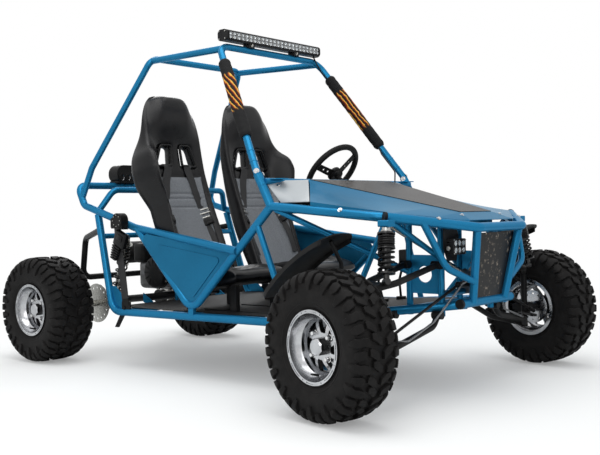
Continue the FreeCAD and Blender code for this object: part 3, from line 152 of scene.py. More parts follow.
def candy_enamel(tree, place, colour):
    """Metallic enamel under clear lacquer, baked on steel: deep blue, a fine sparkle, wet highlights."""
    # Flakes are about 0.1 mm across. They are drawn 1.4 mm wide so that the sparkle shows.
    flake = add(tree, "TexVoronoi", {"Vector": place, "Scale": per_metre(1.4)})
    sparkle = add(tree, "SeparateColor", {"Color": flake.outputs["Color"]})
    tone = add(tree, "ValToRGB", {"Fac": sparkle}, [(0.0, 0.86), (1.0, 1.10)])
    cloud = add(tree, "TexNoise", {"Vector": place, "Scale": per_metre(160.0), "Detail": 2.0})
    drift = add(tree, "ValToRGB", {"Fac": cloud}, [(0.3, 0.92), (0.7, 1.05)])
    toned = add(tree, "Mix", {0: 1.0, 6: tone, 7: drift}, data_type="RGBA", blend_type="MULTIPLY").outputs[2]
    base = add(tree, "Mix", {0: 1.0, 6: colour, 7: toned}, data_type="RGBA",
               blend_type="MULTIPLY").outputs[2]
    # Lacquer flows out with ripples about 7 mm apart.
    ripple = add(tree, "TexNoise", {"Vector": place, "Scale": per_metre(7.0), "Detail": 1.0})
    peel = add(tree, "Bump", {"Height": ripple, "Strength": 0.10, "Distance": 0.00025})
    return add(tree, "BsdfPrincipled", {
        "Base Color": base, "Metallic": 0.50, "Roughness": 0.28, "Normal": peel, "Specular IOR Level": 0.12,
        "Specular Tint": (0.20, 0.55, 0.74, 1.0), "Coat Weight": 0.10, "Coat Roughness": 0.05,
        "Coat IOR": 1.3})


def satin_enamel(tree, place, colour, roughness=0.42, grain_mm=1.1, level=0.15):
    """Powder coat cured on steel: an even satin skin with a slight orange peel."""
    peel = add(tree, "TexNoise", {"Vector": place, "Scale": per_metre(grain_mm * 3), "Detail": 2.0})
    fine = add(tree, "TexNoise", {"Vector": place, "Scale": per_metre(grain_mm), "Detail": 2.0})
    dust = add(tree, "TexNoise", {"Vector": place, "Scale": per_metre(70.0), "Detail": 4.0})
    base = stained(tree, dust, ((0.45, 0.0), (0.8, 0.05)), colour, "#8A8680")
    rough = add(tree, "ValToRGB", {"Fac": fine}, [(0.3, roughness - 0.05), (0.7, roughness + 0.07)])
    skin = add(tree, "Bump", {"Height": peel, "Strength": 0.35, "Distance": 0.00012})
    return add(tree, "BsdfPrincipled", {
        "Base Color": base, "Roughness": rough, "Normal": skin, "Specular IOR Level": level})


def moulded_plastic(tree, place, colour, roughness=0.5, grain_mm=1.6):
    """Injection-moulded ABS with a spark-eroded grain: dull black that greys a little on its high spots."""
    grain = add(tree, "TexVoronoi", {"Vector": place, "Scale": per_metre(grain_mm)})
    haze = add(tree, "TexNoise", {"Vector": place, "Scale": per_metre(45.0), "Detail": 4.0})
    base = stained(tree, haze, ((0.4, 0.0), (0.85, 0.08)), colour, "#5A5957")
    rough = add(tree, "ValToRGB", {"Fac": haze}, [(0.3, roughness - 0.08), (0.7, roughness + 0.10)])
    skin = add(tree, "Bump", {"Height": grain, "Strength": 0.30, "Distance": 0.00025})
    return add(tree, "BsdfPrincipled", {
        "Base Color": base, "Roughness": rough, "Normal": skin, "Specular IOR Level": 0.16})


def natural_rubber(tree, place, colour):
    """Moulded tyre rubber: near-black and matt, with dust in the hollows and a faint sheen on the lugs."""
    grain = add(tree, "TexNoise",
                {"Vector": place, "Scale": per_metre(2.2), "Detail": 4.0, "Roughness": 0.7})
    dust = add(tree, "TexNoise",
               {"Vector": place, "Scale": per_metre(38.0), "Detail": 5.0, "Roughness": 0.6})
    base = stained(tree, dust, ((0.42, 0.0), (0.8, 0.25)), colour, "#33302E")
    rough = add(tree, "ValToRGB", {"Fac": grain}, [(0.2, 0.55), (0.8, 0.72)])
    skin = add(tree, "Bump", {"Height": grain, "Strength": 0.4, "Distance": 0.0005})
    return add(tree, "BsdfPrincipled", {
        "Base Color": base, "Roughness": rough, "Normal": skin, "Specular IOR Level": 0.14})


def turned_aluminium(tree, place, centre, axis):
    """Cast aluminium: bright fine lathe rings on the outer faces; behind them gloss black, partly paint and
    partly painted shade in the windows and the barrel.
    """
    from_centre = add(tree, "VectorMath", {0: place, 1: centre}, operation="SUBTRACT")
    across = add(tree, "VectorMath", {0: from_centre, 1: axis}, operation="CROSS_PRODUCT")
    radius = add(tree, "VectorMath", {0: across}, operation="LENGTH").outputs["Value"]
    normal = add(tree, "TexCoord").outputs["Normal"]
    facing = add(tree, "VectorMath", {0: normal, 1: axis}, operation="DOT_PRODUCT").outputs["Value"]
    both_ways = add(tree, "Math", {0: facing}, operation="ABSOLUTE")
    cut_face = add(tree, "MapRange", {"Value": both_ways, "From Min": 0.42, "From Max": 0.50})
    lip = add(tree, "MapRange", {"Value": radius, "From Min": BARE_RADIUS, "From Max": BARE_RADIUS + 0.002})
    bare_else_painted_shade = add(tree, "Math", {0: cut_face, 1: lip}, operation="MAXIMUM")
    # The tool leaves a ring every 0.2 mm. They are drawn 1.6 mm apart so that they show.
    rings = add(tree, "Math", {0: radius, 1: 2 * math.pi * per_metre(1.6)}, operation="MULTIPLY")
    wave = add(tree, "Math", {0: rings}, operation="SINE")
    cloud = add(tree, "TexNoise", {"Vector": place, "Scale": per_metre(24.0), "Detail": 4.0})
    metal = add(tree, "ValToRGB", {"Fac": cloud}, [(0.3, "#B4B5B8"), (0.7, "#C4C5C7")])
    # Away from the bare faces the rim is black: partly its gloss paint, partly painted shade in the windows
    # and the barrel.
    base = add(tree, "Mix", {0: bare_else_painted_shade, 6: "#0B0B0C", 7: metal}, data_type="RGBA").outputs[2]
    rough = add(tree, "ValToRGB", {"Fac": cloud}, [(0.3, 0.18), (0.7, 0.24)])
    skin = add(tree, "Bump", {"Height": wave, "Strength": 0.06, "Distance": 0.0001})
    return add(tree, "BsdfPrincipled", {
        "Base Color": base, "Metallic": bare_else_painted_shade, "Roughness": rough, "Normal": skin,
        "Specular IOR Level": 0.2})


def cast_aluminium(tree, place, colour):
    """Sand-cast aluminium: dull grey metal with a pitted skin and oily stains."""
    pits = add(tree, "TexNoise", {"Vector": place, "Scale": per_metre(2.6), "Detail": 5.0, "Roughness": 0.7})
    stain = add(tree, "TexNoise", {"Vector": place, "Scale": per_metre(40.0), "Detail": 4.0})
    base = stained(tree, stain, ((0.4, 0.0), (0.75, 0.7)), colour, "#3E3C3A")
    skin = add(tree, "Bump", {"Height": pits, "Strength": 0.5, "Distance": 0.0004})
    return add(tree, "BsdfPrincipled",
               {"Base Color": base, "Metallic": 0.85, "Roughness": 0.48, "Normal": skin})


def plated_steel(tree, place, colour, roughness):
    """Zinc-plated or chromed steel: cool bright metal, slightly cloudy."""
    cloud = add(tree, "TexNoise", {"Vector": place, "Scale": per_metre(14.0), "Detail": 4.0})
    base = stained(tree, cloud, ((0.4, 0.0), (0.8, 0.45)), colour, "#7E7C76")
    rough = add(tree, "ValToRGB", {"Fac": cloud}, [(0.3, roughness - 0.06), (0.7, roughness + 0.08)])
    return add(tree, "BsdfPrincipled", {"Base Color": base, "Metallic": 1.0, "Roughness": rough})


def damper_steel(tree, place, top, along):
    """Zinc-plated clevis on a damper body in black enamel: bright for the first 30 mm, then black."""
    both = add(tree, "VectorMath", {0: place}, operation="ABSOLUTE")
    below = add(tree, "VectorMath", {0: both, 1: top}, operation="SUBTRACT")
    down = add(tree, "VectorMath", {0: below, 1: along}, operation="DOT_PRODUCT").outputs["Value"]
    dark = add(tree, "MapRange", {"Value": down, "From Min": 0.022, "From Max": 0.026})
    cloud = add(tree, "TexNoise", {"Vector": place, "Scale": per_metre(12.0), "Detail": 4.0})
    zinc = add(tree, "ValToRGB", {"Fac": cloud}, [(0.4, "#B9B9B6"), (0.8, "#8B8A86")])
    base = add(tree, "Mix", {0: dark, 6: zinc, 7: "#101011"}, data_type="RGBA").outputs[2]
    metal = add(tree, "Math", {0: 1.0, 1: dark}, operation="SUBTRACT")
    rough = add(tree, "ValToRGB", {"Fac": cloud}, [(0.3, 0.24), (0.7, 0.34)])
    return add(tree, "BsdfPrincipled", {"Base Color": base, "Metallic": metal, "Roughness": rough})


def leatherette(tree, place, colour):
    """PVC-coated cloth with an embossed hide grain: black with broad soft highlights."""
    grain = add(tree, "TexVoronoi", {"Vector": place, "Scale": per_metre(2.6)}, feature="DISTANCE_TO_EDGE")
    crease = add(tree, "TexNoise", {"Vector": place, "Scale": per_metre(60.0), "Detail": 3.0})
    edge = add(tree, "ValToRGB", {"Fac": grain}, [(0.0, 0.0), (0.18, 1.0)])
    base = stained(tree, crease, ((0.35, 0.0), (0.75, 0.35)), colour, "#19191B")
    rough = add(tree, "ValToRGB", {"Fac": crease}, [(0.3, 0.26), (0.7, 0.38)])
    hide = add(tree, "Bump", {"Height": edge, "Strength": 0.22, "Distance": 0.00022})
    skin = add(tree, "Bump", {"Height": crease, "Strength": 0.3, "Distance": 0.003, "Normal": hide})
    return add(tree, "BsdfPrincipled", {
        "Base Color": base, "Roughness": rough, "Normal": skin, "Specular IOR Level": 0.26})


def seat_cloth(tree, place, colour):
    """Knitted polyester face cloth bonded to foam: mid grey, matt and finely speckled."""
    # Knit loops are 0.8 mm apart. They are drawn at 2.4 mm so that the speckle shows.
    loops = add(tree, "TexVoronoi", {"Vector": place, "Scale": per_metre(2.4)})
    shade = add(tree, "SeparateColor", {"Color": loops.outputs["Color"]}).outputs["Green"]
    tone = add(tree, "ValToRGB", {"Fac": shade}, [(0.0, 0.74), (1.0, 1.22)])
    base = add(tree, "Mix", {0: 1.0, 6: colour, 7: tone}, data_type="RGBA", blend_type="MULTIPLY").outputs[2]
    skin = add(tree, "Bump", {"Height": loops, "Strength": 0.35, "Distance": 0.0005})
    return add(tree, "BsdfPrincipled", {
        "Base Color": base, "Roughness": 0.62, "Normal": skin, "Specular IOR Level": 0.3,
        "Sheen Weight": 0.15, "Sheen Roughness": 0.5})


def nylon_webbing(tree, place, colour):
    """Woven nylon belt: black with ribs along its length and a slight gloss."""
    # Yarns lie 1 mm apart. The ribs are drawn 3 mm apart.
    weave = add(tree, "TexWave", {"Vector": place, "Scale": waves_per_metre(3.0), "Distortion": 0.6},
                bands_direction="Z")
    fuzz = add(tree, "TexNoise", {"Vector": place, "Scale": per_metre(3.0), "Detail": 3.0})
    base = add(tree, "ValToRGB", {"Fac": fuzz}, [(0.4, colour), (0.85, "#2C2C2E")])
    skin = add(tree, "Bump", {"Height": weave.outputs["Fac"], "Strength": 0.4, "Distance": 0.0004})
    return add(tree, "BsdfPrincipled", {
        "Base Color": base, "Roughness": 0.5, "Normal": skin, "Specular IOR Level": 0.35})


def sleeve_print(tree, place, low, along, length, black_low, black_high):
    """Knitted sleeve over NBR foam, printed with slanted warm streaks between its plain black ends."""
    from_low = add(tree, "VectorMath", {0: place, 1: low}, operation="SUBTRACT")
    up = add(tree, "VectorMath", {0: from_low, 1: along}, operation="DOT_PRODUCT").outputs["Value"]
    share = add(tree, "Math", {0: up, 1: length}, operation="DIVIDE")
    # Streaks lie about 17 mm apart, lean across the sleeve and break up.
    streaks = add(tree, "TexWave", {
        "Vector": place, "Scale": waves_per_metre(17.0), "Distortion": 7.0, "Detail": 3.0,
        "Detail Scale": 0.5, "Detail Roughness": 0.6}, bands_direction="DIAGONAL", wave_profile="SAW")
    colours = add(tree, "ValToRGB", {"Fac": streaks.outputs["Fac"]}, [
        (0.0, "#120D0C"), (0.34, "#2E100D"), (0.52, "#7A2412"),
        (0.64, "#C9701F"), (0.78, "#E9BC55"), (0.90, "#181210")])
    inside = add(tree, "ValToRGB", {"Fac": share}, [
        (black_low, 0.0), (black_low + 0.05, 1.0),
        (black_high - 0.02, 1.0), (black_high, 0.0)])
    knit = add(tree, "TexNoise", {"Vector": place, "Scale": per_metre(2.4), "Detail": 3.0})
    base = add(tree, "Mix", {0: inside, 6: "#121213", 7: colours}, data_type="RGBA").outputs[2]
    skin = add(tree, "Bump", {"Height": knit, "Strength": 0.5, "Distance": 0.0006})
    return add(tree, "BsdfPrincipled", {
        "Base Color": base, "Roughness": 0.78, "Normal": skin, "Specular IOR Level": 0.2})


def speckled_panel(tree, place):
    """Steel sheet with a printed film: black ground with broken tan and grey patches under a satin skin."""
    patch = add(tree, "TexNoise",
                {"Vector": place, "Scale": per_metre(17.0), "Detail": 6.0, "Roughness": 0.7})
    tall = add(tree, "Mapping", {"Vector": place, "Scale": (1.0, 1.0, 0.6)})
    streak = add(tree, "TexNoise",
                 {"Vector": tall, "Scale": per_metre(60.0), "Detail": 3.0, "Roughness": 0.6})
    tan = add(tree, "ValToRGB", {"Fac": patch}, [
        (0.54, "#0D0C0C"), (0.59, "#5B5147"),
        (0.65, "#A59A89"), (0.72, "#6E6559")])
    dark = add(tree, "ValToRGB", {"Fac": streak}, [(0.44, 0.0), (0.54, 1.0)])
    base = add(tree, "Mix", {0: dark, 6: "#0D0C0C", 7: tan}, data_type="RGBA").outputs[2]
    return add(tree, "BsdfPrincipled", {"Base Color": base, "Roughness": 0.38, "Specular IOR Level": 0.18})


def clear_polycarbonate(tree, place):
    """Moulded polycarbonate: colourless and glossy, with faint moulded flutes 6 mm apart."""
    flutes = add(tree, "TexWave", {"Vector": place, "Scale": waves_per_metre(6.0)}, bands_direction="Y")
    skin = add(tree, "Bump", {"Height": flutes.outputs["Fac"], "Strength": 0.15, "Distance": 0.0004})
    return add(tree, "BsdfPrincipled", {
        "Base Color": "#F4F7F8", "Roughness": 0.05, "IOR": 1.58, "Transmission Weight": 0.92,
        "Normal": skin})


def mirror_reflector(tree, place):
    """Vacuum-metallised plastic cup: a bright mirror with slight waviness."""
    waves = add(tree, "TexNoise", {"Vector": place, "Scale": per_metre(9.0), "Detail": 2.0})
    skin = add(tree, "Bump", {"Height": waves, "Strength": 0.3, "Distance": 0.0005})
    return add(tree, "BsdfPrincipled", {
        "Base Color": "#C9CACC", "Metallic": 1.0, "Roughness": 0.14, "Normal": skin})


def led_chip(tree, place):
    """Phosphor-coated diode: a matt pale yellow square, unlit, with grains 0.6 mm across."""
    grains = add(tree, "TexNoise", {"Vector": place, "Scale": per_metre(0.6), "Detail": 2.0})
    base = add(tree, "ValToRGB", {"Fac": grains}, [(0.3, "#D8CB8A"), (0.7, "#EFE8BE")])
    return add(tree, "BsdfPrincipled", {"Base Color": base, "Roughness": 0.5})


def braided_hose(tree, place):
    """Stainless wire braid over hose: fine crossed strands that glitter."""
    strands = add(tree, "TexVoronoi", {"Vector": place, "Scale": per_metre(2.2)})
    base = add(tree, "ValToRGB", {"Fac": strands}, [(0.0, "#B9BABB"), (0.6, "#5F6062")])
    skin = add(tree, "Bump", {"Height": strands, "Strength": 0.6, "Distance": 0.0005})
    return add(tree, "BsdfPrincipled",
               {"Base Color": base, "Metallic": 0.9, "Roughness": 0.32, "Normal": skin})


def tread_plate(tree, place):
    """Steel sheet in textured black enamel, scuffed where feet rest."""
    texture = add(tree, "TexVoronoi", {"Vector": place, "Scale": per_metre(4.0)})
    scuff = add(tree, "TexNoise",
                {"Vector": place, "Scale": per_metre(30.0), "Detail": 6.0, "Roughness": 0.75})
    base = add(tree, "ValToRGB", {"Fac": scuff}, [(0.55, "#101010"), (0.8, "#2C2A28")])
    skin = add(tree, "Bump", {"Height": texture, "Strength": 0.5, "Distance": 0.0006})
    return add(tree, "BsdfPrincipled", {
        "Base Color": base, "Roughness": 0.6, "Normal": skin, "Specular IOR Level": 0.2})


def red_lens(tree, place):
    """Moulded acrylic lens, ruby red and glossy, with prisms 5 mm across on its inside."""
    prisms = add(tree, "TexVoronoi", {"Vector": place, "Scale": per_metre(5.0)})
    skin = add(tree, "Bump", {"Height": prisms, "Strength": 0.5, "Distance": 0.001})
    return add(tree, "BsdfPrincipled", {
        "Base Color": "#8E1512", "Roughness": 0.12, "IOR": 1.49, "Normal": skin, "Coat Weight": 0.6,
        "Coat Roughness": 0.05})


def studio_floor(tree, place):
    """Pale matt floor. The camera sees it fade into white away from the buggy."""
    away = add(tree, "VectorMath", {0: place}, operation="LENGTH").outputs["Value"]
    fade = add(tree, "MapRange", {"Value": away, "From Min": 1.5, "From Max": 3.4, "To Min": 0.25,
                                  "To Max": 1.0}, interpolation_type="SMOOTHSTEP")
    rays = add(tree, "LightPath")
    factor = add(tree, "Math", {0: fade, 1: rays.outputs["Is Camera Ray"]}, operation="MULTIPLY")
    matt = add(tree, "BsdfDiffuse", {"Color": "#F2F2F0"})
    white = add(tree, "Emission", {"Color": "#FFFFFF", "Strength": 1.0})
    return add(tree, "MixShader", {0: factor, 1: matt, 2: white})


made = {}


def finish(key):
    """The finished material of that key, made once from the scene's colours."""
    if key in made:
        return made[key]
    paint = bpy.context.scene.buggy_colours
    front_line = (FRONT_STRUT[1] - FRONT_STRUT[0]).normalized()
    name, surface, *values = {
        "blue": ("candy_blue_enamel", candy_enamel, [*paint.frame, 1.0]),
        "panel_blue": ("candy_blue_panel", candy_enamel, [*paint.panels, 1.0]),
        "arm_black": ("black_powder_coat", satin_enamel, "#121213"),
        "hood_black": ("black_satin_hood_sheet", satin_enamel, "#171514", 0.36, 0.9),
        "spring_black": ("black_gloss_spring_enamel", satin_enamel, "#0D0D0E", 0.26),
        "exhaust_black": ("black_stove_enamel", satin_enamel, "#161515", 0.62, 1.4),
        "engine_black": ("black_engine_enamel", satin_enamel, "#1A1A1B", 0.5, 1.2),
        "lamp_black": ("black_anodised_aluminium", satin_enamel, "#151516", 0.36, 0.8),
        "cowl_grey": ("grey_satin_sheet", satin_enamel, "#A3A7A9", 0.34, 1.0, 0.4),
        "plastic": ("black_moulded_abs", moulded_plastic, "#121212"),
        "bezel": ("black_gloss_abs", moulded_plastic, "#101011", 0.22, 1.2),
        "seat_shell": ("black_gelcoat_shell", moulded_plastic, "#0F0F10", 0.34, 3.0),
        "fender": ("black_moulded_polypropylene", moulded_plastic, "#131212", 0.44, 2.2),
        "grip": ("black_polyurethane_foam", moulded_plastic, "#101010", 0.62, 2.0),
        "cable": ("black_pvc_sheath", moulded_plastic, "#0E0E0E", 0.42, 1.2),
        "rubber": ("tyre_rubber", natural_rubber, [*paint.tyres, 1.0]),
        "engine": ("cast_aluminium", cast_aluminium, "#7C7D7F"),
        "steel": ("zinc_plated_steel", plated_steel, "#B0AFAA", 0.26),
        "chrome": ("chromed_steel", plated_steel, "#DCDCDC", 0.14),
        "front_damper": ("front_damper_steel", damper_steel, FRONT_STRUT[0], front_line),
        "leatherette": ("black_leatherette", leatherette, [*paint.leatherette, 1.0]),
        "cloth": ("grey_seat_cloth", seat_cloth, [*paint.seat_cloth, 1.0]),
        "webbing": ("black_nylon_webbing", nylon_webbing, "#151516"),
        "grille": ("speckled_grille_film", speckled_panel),
        "lens": ("clear_polycarbonate", clear_polycarbonate),
        "reflector": ("metallised_reflector", mirror_reflector),
        "chip": ("led_phosphor", led_chip),
        "braid": ("steel_braid", braided_hose),
        "floor": ("black_floor_enamel", tread_plate),
        "red_lens": ("red_acrylic_lens", red_lens),
    }[key]
    made[key] = made_of(name, surface, *values)
    return made[key]


def dress(material, *names):
    """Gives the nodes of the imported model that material."""
    for name in names:
        node = frame["nodes"][name]
        if not node.data.materials:
            node.data.materials.append(material)
        for slot in node.material_slots:
            slot.material = material


# Mesh code


def circle(count):
    """Angles of that many even steps round a circle."""
    return [2 * math.pi * k / count for k in range(count)]


def hoop(centre, first, second, radius, count, turn=0.0):
    """Points round a centre, from the first direction towards the second."""
    angles = [a + turn for a in circle(count)]
    return [centre + (first * math.cos(a) + second * math.sin(a)) * radius for a in angles]


class Shape:
    """Points and faces of one piece while it is made. Each face keeps the number of its finish."""

    def __init__(self):
        self.points = []
        self.faces = []
        self.finishes = []

    def add(self, points, faces, finish_number=0):
        start = len(self.points)
        self.points += points
        self.faces += [[start + i for i in face] for face in faces]
        self.finishes += [finish_number] * len(faces)

    def rows(self, rows, ring=False, loop=False, finish_number=0):
        """Skins rows of points. With ring each row closes, and with loop the last row joins the first."""
        count = len(rows[0])
        faces = []
        for i in range(len(rows) if loop else len(rows) - 1):
            a, b = i * count, (i + 1) % len(rows) * count
            for j in range(count if ring else count - 1):
                k = (j + 1) % count
                faces.append([a + j, a + k, b + k, b + j])
        if ring and not loop:
            faces.append(list(range(count))[::-1])
            faces.append([(len(rows) - 1) * count + j for j in range(count)])
        self.add([p for row in rows for p in row], faces, finish_number)

    def turned(self, outline, centre, axis, segments=40, finish_number=0):
        """Revolves a closed outline of (distance along the axis, radius)."""
        side = axis.orthogonal().normalized()
        other = axis.cross(side).normalized()
        rows = []
        for a in circle(segments):
            out = side * math.cos(a) + other * math.sin(a)
            rows.append([centre + axis * d + out * r for d, r in outline])
        self.rows(rows, ring=True, loop=True, finish_number=finish_number)

    def tube(self, path, radius, sides=12, finish_number=0, loop=False):
        """Round bar along a path of points, with a radius for the whole or one for each point."""
        radii = radius if isinstance(radius, (list, tuple)) else [radius] * len(path)
        across = None
        rows = []
        for i, point in enumerate(path):
            before = path[i - 1] if i or loop else point
            after = path[(i + 1) % len(path)] if i < len(path) - 1 or loop else point
            along = (after - before).normalized()
            across = across - along * across.dot(along) if across else along.orthogonal()
            across.normalize()
            rows.append(hoop(point, across, along.cross(across), radii[i], sides))
        self.rows(rows, ring=True, loop=loop, finish_number=finish_number)

    def ribbon(self, path, across, width, thickness):
        """Flat belt along a path of points. across gives the direction of its width at each point."""
        rows = []
        for i, point in enumerate(path):
            along = (path[min(i + 1, len(path) - 1)] - path[max(i - 1, 0)]).normalized()
            way = across[i] if isinstance(across, list) else across
            side = (way - along * way.dot(along)).normalized() * width / 2
            lift = side.cross(along).normalized() * thickness / 2
            rim = side * 0.94
            rows.append([point + side, point + rim + lift, point - rim + lift, point - side,
                         point - rim - lift, point + rim - lift])
        self.rows(rows, ring=True)

    def block(self, place, size, bevel=0.0, segments=2, finish_number=0):
        """Box of that size with rounded edges, at a placing matrix or a point."""
        if not isinstance(place, Matrix):
            place = Matrix.Translation(place)
        mesh = bmesh.new()
        bmesh.ops.create_cube(mesh, size=1.0)
        bmesh.ops.scale(mesh, vec=size, verts=mesh.verts)
        if bevel:
            bmesh.ops.bevel(mesh, geom=mesh.edges[:], offset=bevel, segments=segments, affect="EDGES",
                            profile=0.5)
        mesh.verts.index_update()
        faces = [[v.index for v in f.verts] for f in mesh.faces]
        self.add([place @ v.co for v in mesh.verts], faces, finish_number)
        mesh.free()

    def moved(self, place):
        """The same shape at another place. A mirroring matrix turns its faces round."""
        other = Shape()
        other.points = [place @ p for p in self.points]
        flip = place.to_3x3().determinant() < 0
        other.faces = [face[::-1] if flip else list(face) for face in self.faces]
        other.finishes = list(self.finishes)
        return other

    def piece(self, name, finishes, sharp_degrees=35, rounds=0, body="chassis"):
        """Makes the object, smooths it by rounds of subdivision and lets it ride on a body."""
        mesh = bpy.data.meshes.new(name)
        mesh.from_pydata(self.points, [], self.faces)
        tidy = bmesh.new()
        tidy.from_mesh(mesh)
        bmesh.ops.recalc_face_normals(tidy, faces=tidy.faces)
        tidy.to_mesh(mesh)
        tidy.free()
        for key in finishes:
            mesh.materials.append(finish(key) if isinstance(key, str) else key)
        for polygon, number in zip(mesh.polygons, self.finishes):
            polygon.material_index = number
        thing = bpy.data.objects.new(name, mesh)
        bpy.context.scene.collection.objects.link(thing)
        if rounds:
            smoother = thing.modifiers.new("smoothing", "SUBSURF")
            smoother.levels = rounds
            smoother.render_levels = rounds
            seen = thing.evaluated_get(bpy.context.evaluated_depsgraph_get())
            mesh = bpy.data.meshes.new_from_object(seen)
            thing.modifiers.clear()
            thing.data = mesh
        mesh.shade_smooth()
        mesh.set_sharp_from_angle(angle=math.radians(sharp_degrees))
        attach(thing, body)
        return thing


def placing(origin, along, out):
    """Matrix that puts local X along one direction and local Z towards another."""
    x = along.normalized()
    y = out.cross(x).normalized()
    turn = Matrix((x, y, x.cross(y))).transposed().to_4x4()
    return Matrix.Translation(origin) @ turn


def mirrored(point, side):
    """A point of the left half on that side of the buggy."""
    return Vector((point[0], point[1] * side, point[2]))


def smooth_line(points, steps):
    """Even curve through points, with that many steps between each two."""
    points = [Vector(p) for p in points]
    line = []
    for i in range(len(points) - 1):
        a = points[max(i - 1, 0)]
        b, c = points[i], points[i + 1]
        d = points[min(i + 2, len(points) - 1)]
        for j in range(steps):
            t = j / steps
            line.append((2 * b + (c - a) * t + (2 * a - 5 * b + 4 * c - d) * t * t
                         + (3 * b - a - 3 * c + d) * t ** 3) / 2)
    return line + [points[-1]]


def eased(share):
    """Smooth step from 0 to 1."""
    share = max(0.0, min(1.0, share))
    return share * share * (3 - 2 * share)


def bolt(shape, place, radius=0.008, height=0.006, washer=True, finish_number=0):
    """Hexagon head, mostly on a washer. Local Z of the place points out of the surface."""
    disc = ((radius * 1.5, 0.0), (radius * 1.5, 0.0015), (radius * 0.9, 0.0016))
    head = ((radius, 0.0015), (radius, height), (radius * 0.86, height + 0.001))
    for sides, stations in ((20, disc), (6, head)) if washer else ((6, head),):
        rows = [[place @ p for p in hoop(Z_AXIS * z, X_AXIS, Y_AXIS, r, sides)] for r, z in stations]
        shape.rows(rows, ring=True, finish_number=finish_number)


# Wheels


def wheel_place(axle_x, half_track, side, steer):
    """Where a wheel modelled about its own centre, outboard towards +Y, stands on the buggy."""
    place = Matrix.Translation((axle_x, side * half_track, AXLE_HEIGHT))
    if side < 0:
        place = place @ Matrix.Scale(-1, 4, (0, 1, 0))
    if steer:
        pin = Vector((axle_x, side * KINGPIN_HALF, 0))
        place = (Matrix.Translation(pin) @ Matrix.Rotation(STEER_AT_REST, 4, "Z")
                 @ Matrix.Translation(-pin) @ place)
    return place


WHEELS = {
    "front_right": (wheel_place(FRONT_AXLE_X, FRONT_WHEEL_HALF, -1, True), "wheel_front_right", "front"),
    "front_left": (wheel_place(FRONT_AXLE_X, FRONT_WHEEL_HALF, 1, True), "wheel_front_left", "front"),
    "rear_right": (wheel_place(REAR_AXLE_X, REAR_WHEEL_HALF, -1, False), "rear_wheels", "rear"),
    "rear_left": (wheel_place(REAR_AXLE_X, REAR_WHEEL_HALF, 1, False), "rear_wheels", "rear"),
}


def carcass_line(half_width):
    """Half section of the carcass, from the tread's middle to the bead: (out from the middle, radius)."""
    w = half_width
    corners = [
        (0.0, 0.2675), (w - 0.062, 0.2672), (w - 0.036, 0.2650), (w - 0.020, 0.2590),
        (w - 0.0095, 0.2480), (w - 0.0045, 0.2330), (w - 0.0020, 0.2150), (w - 0.0015, 0.1980),
        (w - 0.0025, 0.1830), (w - 0.0050, 0.1680), (w - 0.0065, 0.1640), (w - 0.0060, 0.1605),
        (w - 0.0090, 0.1560), (w - 0.0140, 0.1470), (w - 0.0190, 0.1410), (w - 0.0190, 0.1340),
    ]
    return smooth_line([(y, r, 0) for y, r in corners], 3)


# Lugs of one pitch of the tread: their turn as a share of the pitch, and their stations. A station has its
# share of the way from the middle to the shoulder, the lug's two edges round the tyre and its share of the
# full height.
LUGS = [
    (0.00, [
        (0.04, -0.004, 0.020, 1.0), (0.16, -0.012, 0.018, 1.0), (0.26, -0.020, 0.010, 1.0),
        (0.40, -0.024, 0.002, 1.0), (0.50, -0.020, -0.004, 1.0),
    ]),
    (0.50, [
        (0.24, 0.000, 0.020, 1.0), (0.34, -0.008, 0.022, 1.0), (0.48, -0.016, 0.014, 1.0),
        (0.60, -0.020, 0.008, 1.0), (0.66, -0.014, 0.004, 1.0),
    ]),
    (0.06, [
        (0.62, -0.004, 0.012, 1.0), (0.70, -0.014, 0.016, 1.0), (0.86, -0.018, 0.012, 1.0),
        (0.98, -0.014, 0.016, 1.0), (1.12, -0.018, 0.014, 1.0), (1.20, -0.012, 0.014, 0.96),
        (1.34, -0.010, 0.008, 0.78), (1.50, -0.008, 0.004, 0.45),
    ]),
    (0.54, [
        (0.78, -0.012, 0.010, 1.0), (0.88, -0.018, 0.014, 1.0), (1.02, -0.014, 0.018, 1.0),
        (1.14, -0.010, 0.012, 0.94), (1.22, -0.006, 0.008, 0.70),
    ]),
]


